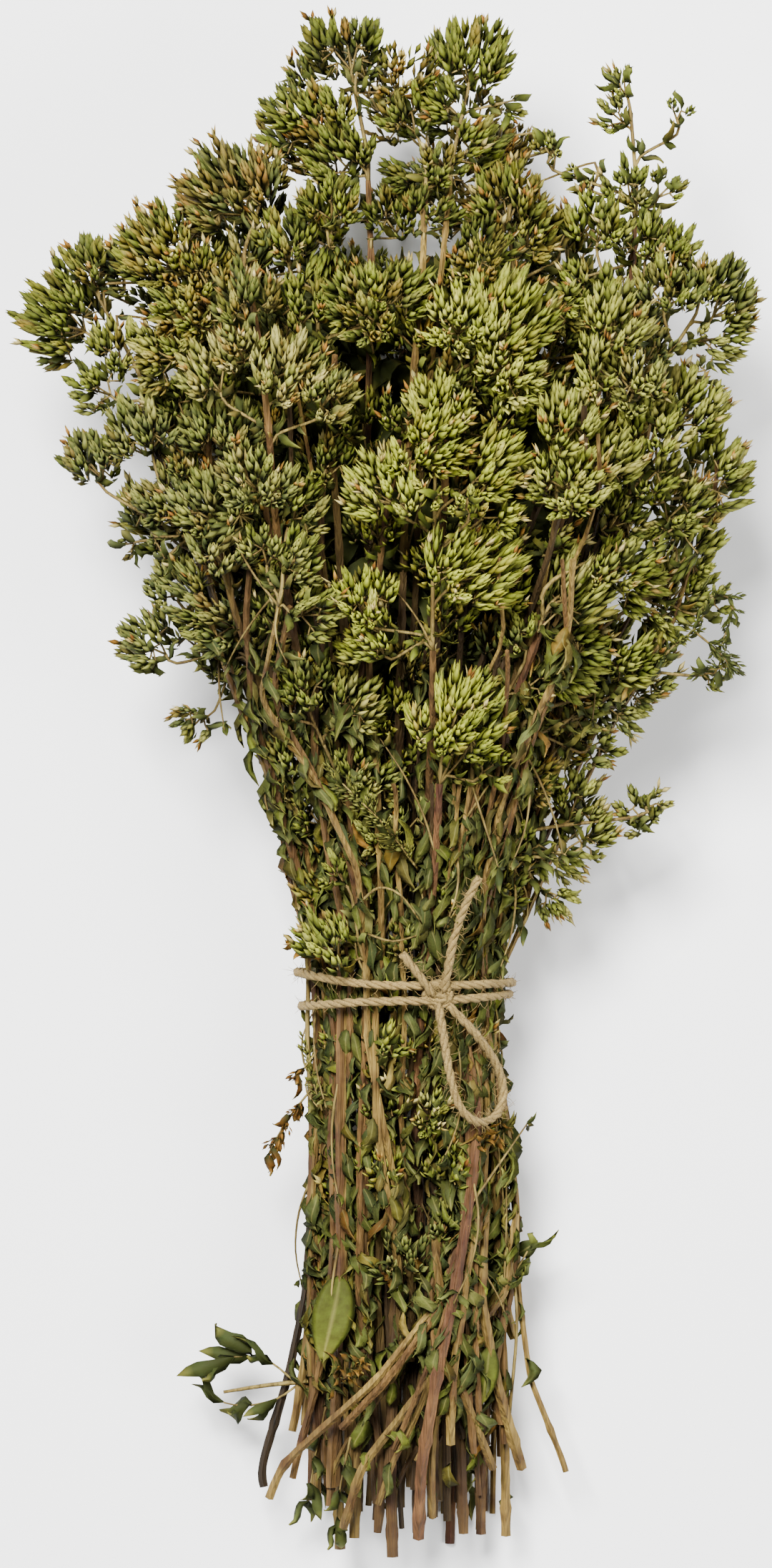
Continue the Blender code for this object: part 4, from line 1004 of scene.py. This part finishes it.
chance = random.Random(41)
anchors = np.vstack([line[::3] for line in (*stem_lines.values(), *thin_lines)] + [branch_points])
anchors = anchors[anchors[:, 1] > -160 * MM]
taken = np.array(forks)
sprays = {band: ([], []) for band in spray_bands}
for _ in range(spray_tries):
    y = chance.uniform(*spray_bounds)
    angle = chance.uniform(0, 2 * math.pi)
    share = math.sqrt(chance.uniform(0.16, 1.0))
    centre_x, half_x, mid_z, half_z = section_at(y * MM)
    radial = np.array((math.cos(angle), 0, math.sin(angle)))
    margin = (spray_margin + 15 * max(radial[2], 0) * (y > 0)) * MM
    fork = np.array((centre_x, y * MM, mid_z)) + radial * share * (half_x - margin, 0, half_z - margin)
    if np.linalg.norm(taken - fork, axis=1).min() < spray_room:
        continue
    gaps = np.linalg.norm(anchors - fork, axis=1) + 1.5 * np.maximum(anchors[:, 1] - fork[1] + 6 * MM, 0)
    root = anchors[int(np.argmin(gaps))]
    gap = length_of(fork - root)
    if not side_branch[0] <= gap <= side_branch[1] or inside(openings, fork[0] / MM, y + 7):
        continue
    if fork[2] > mid_z - 4 * MM and inside(hollows, fork[0] / MM, y + 6):
        continue
    taken = np.vstack((taken, fork))
    outward = unit(radial * (1 / half_x, 0, 1 / half_z))
    facing = unit(0.75 * share * outward + (0, 0.7, 0) + drawn(chance, 0.35))
    turn = unit(np.cross(facing, (0.3, 0.2, 1)))
    other = np.cross(facing, turn)
    twist = chance.uniform(0, 6)
    angles = [twist + k * 2.1 for k in range(3)]
    ways = np.array([unit(facing + 0.75 * (math.cos(angle) * turn + math.sin(angle) * other))
                     for angle in angles])
    reach = np.array([chance.uniform(*spray_reach) * MM for _ in range(3)])
    tone = held(spray_tone(fork[0], fork[1]) + chance.gauss(0, 0.22))
    # Painted shade: sprays nearer the bundle's axis and in the heart of the crown are drawn darker.
    painted_shade_and_tone = 0.2 + 0.5 * (1 - share) + spray_painted_shade(fork[0], fork[1])
    heart = fork + facing * 0.4 * float(reach.mean())
    room = inner_room * (1.15 if radial[2] < -0.3 else 1)
    flowers, withered = chance.choice((0.0, 0.1, 0.4)), chance.choice((-0.1, -0.05, 0.0, 0.3))
    head, stalks = head_copies(heart, ways, reach, tone, flowers, withered, chance, inner_patterns,
                               room, painted_shade_and_tone)
    run = curve_through([root, root + (0, 0.3 * gap, 0) + 0.05 * gap * outward,
                         fork - facing * 0.25 * gap, fork], 4 * MM)
    band = next(limit for limit in spray_bands if y < limit)
    sprays[band][0].extend(head + leaf_pairs(run, tone, chance, (1, len(run) - 2)))
    sprays[band][1].extend(stalks + [(run, np.linspace(0.95 * MM, 0.7 * MM, len(run)))])
for _ in range(shaded_heart_leaves):
    y = chance.uniform(-20, 140)
    centre_x, half_x, mid_z, half_z = section_at(y * MM)
    share, angle = math.sqrt(chance.random()), chance.uniform(0, 2 * math.pi)
    foot = np.array((centre_x + 0.68 * share * half_x * math.cos(angle), y * MM,
                     mid_z - 0.15 * half_z + 0.4 * share * half_z * math.sin(angle)))
    if inside(openings, foot[0] / MM, y):
        continue
    way = np.array((chance.uniform(-1, 1), chance.uniform(-0.6, 1), chance.uniform(-0.3, 0.3)))
    band = next(limit for limit in spray_bands if y < limit)
    # Each heart leaf has a low tone and a zero shade mark: painted shade.
    sprays[band][0].append(copy_of(chance.choice(leaf_patterns), foot, way,
                                   (chance.uniform(-0.5, 0.5), 0.2, 1),
                                   chance.uniform(0.85, 1.3) * min(half_x / (80 * MM), 1),
                                   chance.uniform(0, 0.2), 0, 0))
for count, (copies, runs) in enumerate(sprays.values(), start=1):
    flower_piece(f"inner_sprays_{count}", copies, runs)

# Stray sprigs. Broken side twigs stand out of the bundle, bare or with crumpled leaves, buds or dark
# seed heads. Brown flower remains cling here and there, and thin dry tendrils curl over the stems
# all round. Twigs are set by points on the section.
stray_sprigs = (
    # what it carries, its size, tone, dryness and shade, thickness, the points as x, y and lift
    ("bare", 0, 0, 0, 0, 1.5, ((-22, -169, 0.3), (-33, -170, 0.4), (-46, -172, 0.5))),
    ("leaf", 1.2, 0.05, 0.0, 0.2, 0.7, ((-26, -169, 0.3), (-32, -164, 0.4), (-38, -162, 0.5),
                                         (-43, -162, 0.6))),
    ("leaf", 0.85, 0.1, 0.0, 0.2, 0.7, ((-25, -170, 0.3), (-31, -174, 0.3), (-40, -176, 0.3),
                                        (-46, -175, 0.3))),
    ("leaf", 0.75, 0.2, 0.0, 0.3, 0.7, ((-17, -176, 0.5), (-20, -190, 0.4), (-22, -203, 0.3))),
    ("leaf", 0.95, 0.35, 0.0, 0.35, 0.7, ((-10, -184, 0.9), (-13, -199, 0.8), (-14, -209, 0.7))),
    ("seed", 0.5, 0.1, 0.75, 0.05, 0.7, ((-21, -86, 0.7), (-28, -95, 0.9), (-33, -104, 0.9))),
    ("seed", 0.55, 0.1, 0.75, 0.05, 0.6, ((-20, -76, 0.6), (-23, -80, 0.7), (-24.5, -82, 0.7))),
    ("bud", 0.42, 0.35, 0.0, 0.25, 0.8, ((72, 27, 0.5), (79, 37, 0.5), (86, 43, 0.6), (93, 53, 0.6),
                                        (97, 49, 0.6), (94, 39, 0.5))),
    ("bud", 0.55, 0.3, 0.0, 0.2, 0.7, ((86, 43, 0.6), (92, 38, 0.6), (96, 33, 0.6), (90, 32, 0.6))),
    ("leaf", 0.7, 0.45, 0.0, 0.4, 0.8, ((30, -150, 0.7), (36, -139, 0.5), (40, -132, 0.4))),
    ("bare", 0, 0, 0, 0, 0.9, ((-7, -33, 1.02), (-2, -29, 1.12), (4, -31, 1.12), (10, -39, 1.0))),
    ("bare", 0, 0, 0, 0, 0.8, ((-5, -42, 1.02), (2, -44, 1.1), (10, -42, 1.0))),
    ("bud", 0.5, 0.4, 0.1, 0.4, 0.7, ((9, -24, 0.9), (0, -12, 1.1), (-8, -4, 1.15), (-14, 2, 1.1))),
    ("leaf", 0.5, 0.4, 0.2, 0.4, 0.7, ((33, -150, 0.7), (34, -120, 1.0), (33, -96, 0.9))),
    ("bare", 0, 0, 0, 0, 1.6, ((-19, -110, 0.4), (-22, -74, 0.5), (-22.3, -50, 0.5), (-27, -20, 0.5))),
    ("bare", 0, 0, 0, 0, 1.5, ((-20, -130, -0.2), (-22, -74, -0.2), (-22.3, -50, -0.2), (-28, -16, 0))),
    ("bud", 0.42, 0.45, 0.1, 0.4, 0.7, ((-18, -92, 0.8), (-21, -82, 0.7), (-22, -74, 0.5))),
    ("bare", 0, 0, 0, 0, 1.0, ((35, -178, 0.4), (37, -150, 0.6), (34, -126, 0.8), (31, -96, 0.9))),
)
remains_count = 14
brown_remains = ((-12, -167, 1.1), (-9, -164, 1.1), (28, -101, 1.1), (30, -98, 1.1), (-24, -45, 0.9))
tendril_count = 100
chance = random.Random(67)
copies, runs = [], []
for load, size, tone, dry, shade, thickness, points in stray_sprigs:
    route = curve_through([on_section(*point) for point in points], 2.5 * MM)
    runs.append((route, np.linspace(thickness, 0.6 * thickness, len(route)) * MM))
    for k in range(2, len(route)):
        if load == "bare" or (load == "leaf" and k % 3 and k < len(route) - 1):
            continue
        along = unit(route[k] - route[k - 1])
        for _ in range(2 if load == "leaf" else 3):
            way = along + (0.6 if load == "leaf" else 0.8) * unit(drawn(chance, 1))
            patterns = leaf_patterns if load == "leaf" or chance.random() < 0.3 else inner_patterns
            copies.append(copy_of(chance.choice(patterns), route[k], way, (0.3, -0.2, 1),
                                  size * chance.uniform(0.6, 1.1), tone, dry,
                                  held(shade + chance.uniform(-0.1, 0.15))))
for x, y, lift in brown_remains:
    for _ in range(remains_count):
        foot = on_section(x + chance.uniform(-3, 3), y + chance.uniform(-3, 3), lift)
        way = drawn(chance, 1)
        copies.append(copy_of(chance.choice(leaf_patterns), foot, way, (0.2, 0.1, 1),
                              chance.uniform(0.25, 0.42), 0.4, 0.7, chance.uniform(0.02, 0.35)))
for _ in range(tendril_count):
    line = chance.choice(list(stem_lines.values()))
    y = chance.triangular(-160, 110, 0) * MM
    start = point_at(line, y)
    outward = unit(off_axis((start[0], y, start[2])))
    sideways = np.cross((0, 1, 0), outward)
    reach, lean = chance.uniform(14, 38) * MM, chance.uniform(-0.9, 0.9)
    rise, curl = chance.uniform(1, 4) * MM, chance.uniform(-8, 8) * MM
    aim = unit(np.array((0, chance.choice((1, 1, -1)), 0)) + lean * sideways)
    points = [start + t * reach * aim + math.sin(math.pi * t) * rise * outward + t * t * curl * sideways
              for t in (0, 0.33, 0.67, 1)]
    route = curve_through(points, 3 * MM)
    runs.append((route, np.linspace(0.8, 0.4, len(route)) * MM))
    copies += leaf_pairs(route, 0.4, chance, (len(route) - 2,))
flower_piece("stray_sprigs", copies, runs)

# Twine. Natural jute in three strands twisted together, wound twice round the waist and tied in a
# knot with one hanging bow loop and two tails. Loose fibres stand off it all along.
twine_thickness = 2.6
twine_standoff = 2.7
strand_count = 3
strand_pitch = 11.0
wrap_y = ((-53.0, -56.5, -56.0, -55.0), (-62.6, -60.8, -59.2, -60.5))
wrap_corners = 48
knot_place, knot_height = (14.5, -59.0), 2.4
knot_corners = 12
knot_loops = (
    # radius in millimetres, tilt and lean
    (3.3, 0.3, 0.5), (2.7, 1.7, -0.4), (2.2, 2.6, 0.9),
)
fibre_thicknesses = (0.14 * MM, 0.11 * MM, 0.06 * MM)
fibres_per_point = 2.6
bow_loop = ((14.5, -61, 2.2), (16, -70, 4), (18, -82, 5), (21, -91, 4.5), (26, -95, 4),
            (31, -93, 4), (33, -87, 5), (31, -79, 5.5), (25, -70, 4.5), (17.5, -62, 2.8))
short_tail = ((13, -59, 2.6), (10, -54.5, 3.6), (4.5, -47.5, 3.4))
long_tail = ((16, -58, 2.6), (17.5, -51, 4), (19, -43, 4), (22.5, -33, 4.5), (26, -26, 5))


def wrap_route(left_y, front_y, right_y, back_y):
    """One closed turn of twine round the waist, its y eased between the four sides."""
    route = []
    for k in range(wrap_corners + 1):
        angle = 2 * math.pi * k / wrap_corners
        shares = [max(value, 0) ** 2 for value in (-math.cos(angle), math.sin(angle),
                                                   math.cos(angle), -math.sin(angle))]
        y = float(np.dot(shares, (left_y, front_y, right_y, back_y)))
        centre_x, half_x, mid_z, half_z = section_at(y * MM)
        route.append((centre_x + (half_x + twine_standoff * MM) * math.cos(angle), y * MM,
                      mid_z + (half_z + twine_standoff * MM) * math.sin(angle)))
    return np.array(route)


def laid_route(points):
    """A stretch of twine that lies on the bundle, each point given as x, y and height above it."""
    lying = [on_section(x, y, 1) + (0, 0, (height + twine_thickness / 2) * MM)
             for x, y, height in points]
    return curve_through(lying, 1 * MM)


def twisted(route):
    """The strands of the twine along the route, wound round each other."""
    travelled = travelled_along(route)
    count = max(4, round(travelled[-1] / (0.9 * MM)))
    spots = np.linspace(0, travelled[-1], count)
    route = np.column_stack([np.interp(spots, travelled, route[:, k]) for k in range(3)])
    turns = travelled[-1] / (strand_pitch * MM)
    ways = np.gradient(route, axis=0)
    strands = [[] for _ in range(strand_count)]
    side = unit(np.cross(ways[0], (0.3, 0.2, 1)))
    for k, (place, way) in enumerate(zip(route, ways)):
        way = unit(way)
        side = unit(side - way * float(side @ way))
        up = np.cross(way, side)
        for j, strand in enumerate(strands):
            angle = 2 * math.pi * (turns * k / (count - 1) + j / strand_count)
            off = math.cos(angle) * side + math.sin(angle) * up
            strand.append(place + 0.23 * twine_thickness * MM * off)
    return [(np.array(strand), np.full(count, 0.6 * twine_thickness * MM)) for strand in strands]


knot = on_section(*knot_place, 1) + (0, 0, knot_height * MM)
stretches = [wrap_route(*wrap) for wrap in wrap_y]
stretches += [laid_route(points) for points in (bow_loop, short_tail, long_tail)]
for radius, tilt, lean in knot_loops:
    loop = []
    for k in range(knot_corners + 1):
        angle = 2 * math.pi * k / knot_corners + tilt
        up = 0.55 * math.sin(angle) * math.sin(tilt) + 0.2 * lean
        across = math.sin(angle) * math.cos(tilt)
        loop.append(knot + radius * MM * np.array((math.cos(angle), across, up)))
    stretches.append(curve_through(loop, 1 * MM))
runs = []
for route in stretches:
    runs += twisted(route)
chance = random.Random(31)
fibres = []
for route in stretches:
    for _ in range(int(len(route) * fibres_per_point)):
        k = chance.randrange(len(route) - 1)
        foot = route[k]
        along = unit(route[k + 1] - route[k])
        out = unit(np.cross(along, drawn(chance, 1)))
        length = chance.uniform(1.5, 4.5) * MM
        bend = along * chance.uniform(-0.8, 0.8) + out * 0.35
        start = foot + out * 1.2 * MM
        points = np.array((start, start + (out * 0.5 + bend * 0.5) * length * 0.5,
                           start + (out * 0.35 + bend) * length))
        fibres.append((points, fibre_thicknesses))
twine = swept("jute_twine", runs + fibres)
twine.data.shade_smooth()

jute = bpy.data.materials.new("jute")
jute.use_nodes = True
tree = jute.node_tree
shader = tree.nodes["Principled BSDF"]
place = add_node(tree, "ShaderNodeTexCoord").outputs["Object"]
hairs = noise(tree, place, 1400.0, 4.0, 1.5)
tint = ramp(tree, hairs, ((0.3, (0.115, 0.07, 0.017)), (0.7, (0.28, 0.195, 0.06))))
bump = add_node(tree, "ShaderNodeBump", {"Height": hairs, "Strength": 0.6, "Distance": 0.25 * MM})
tree.links.new(tint, shader.inputs["Base Color"])
tree.links.new(bump.outputs["Normal"], shader.inputs["Normal"])
shader.inputs["Roughness"].default_value = 0.9
twine.data.materials.append(jute)
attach(twine, "root")
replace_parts(twine, "twine")
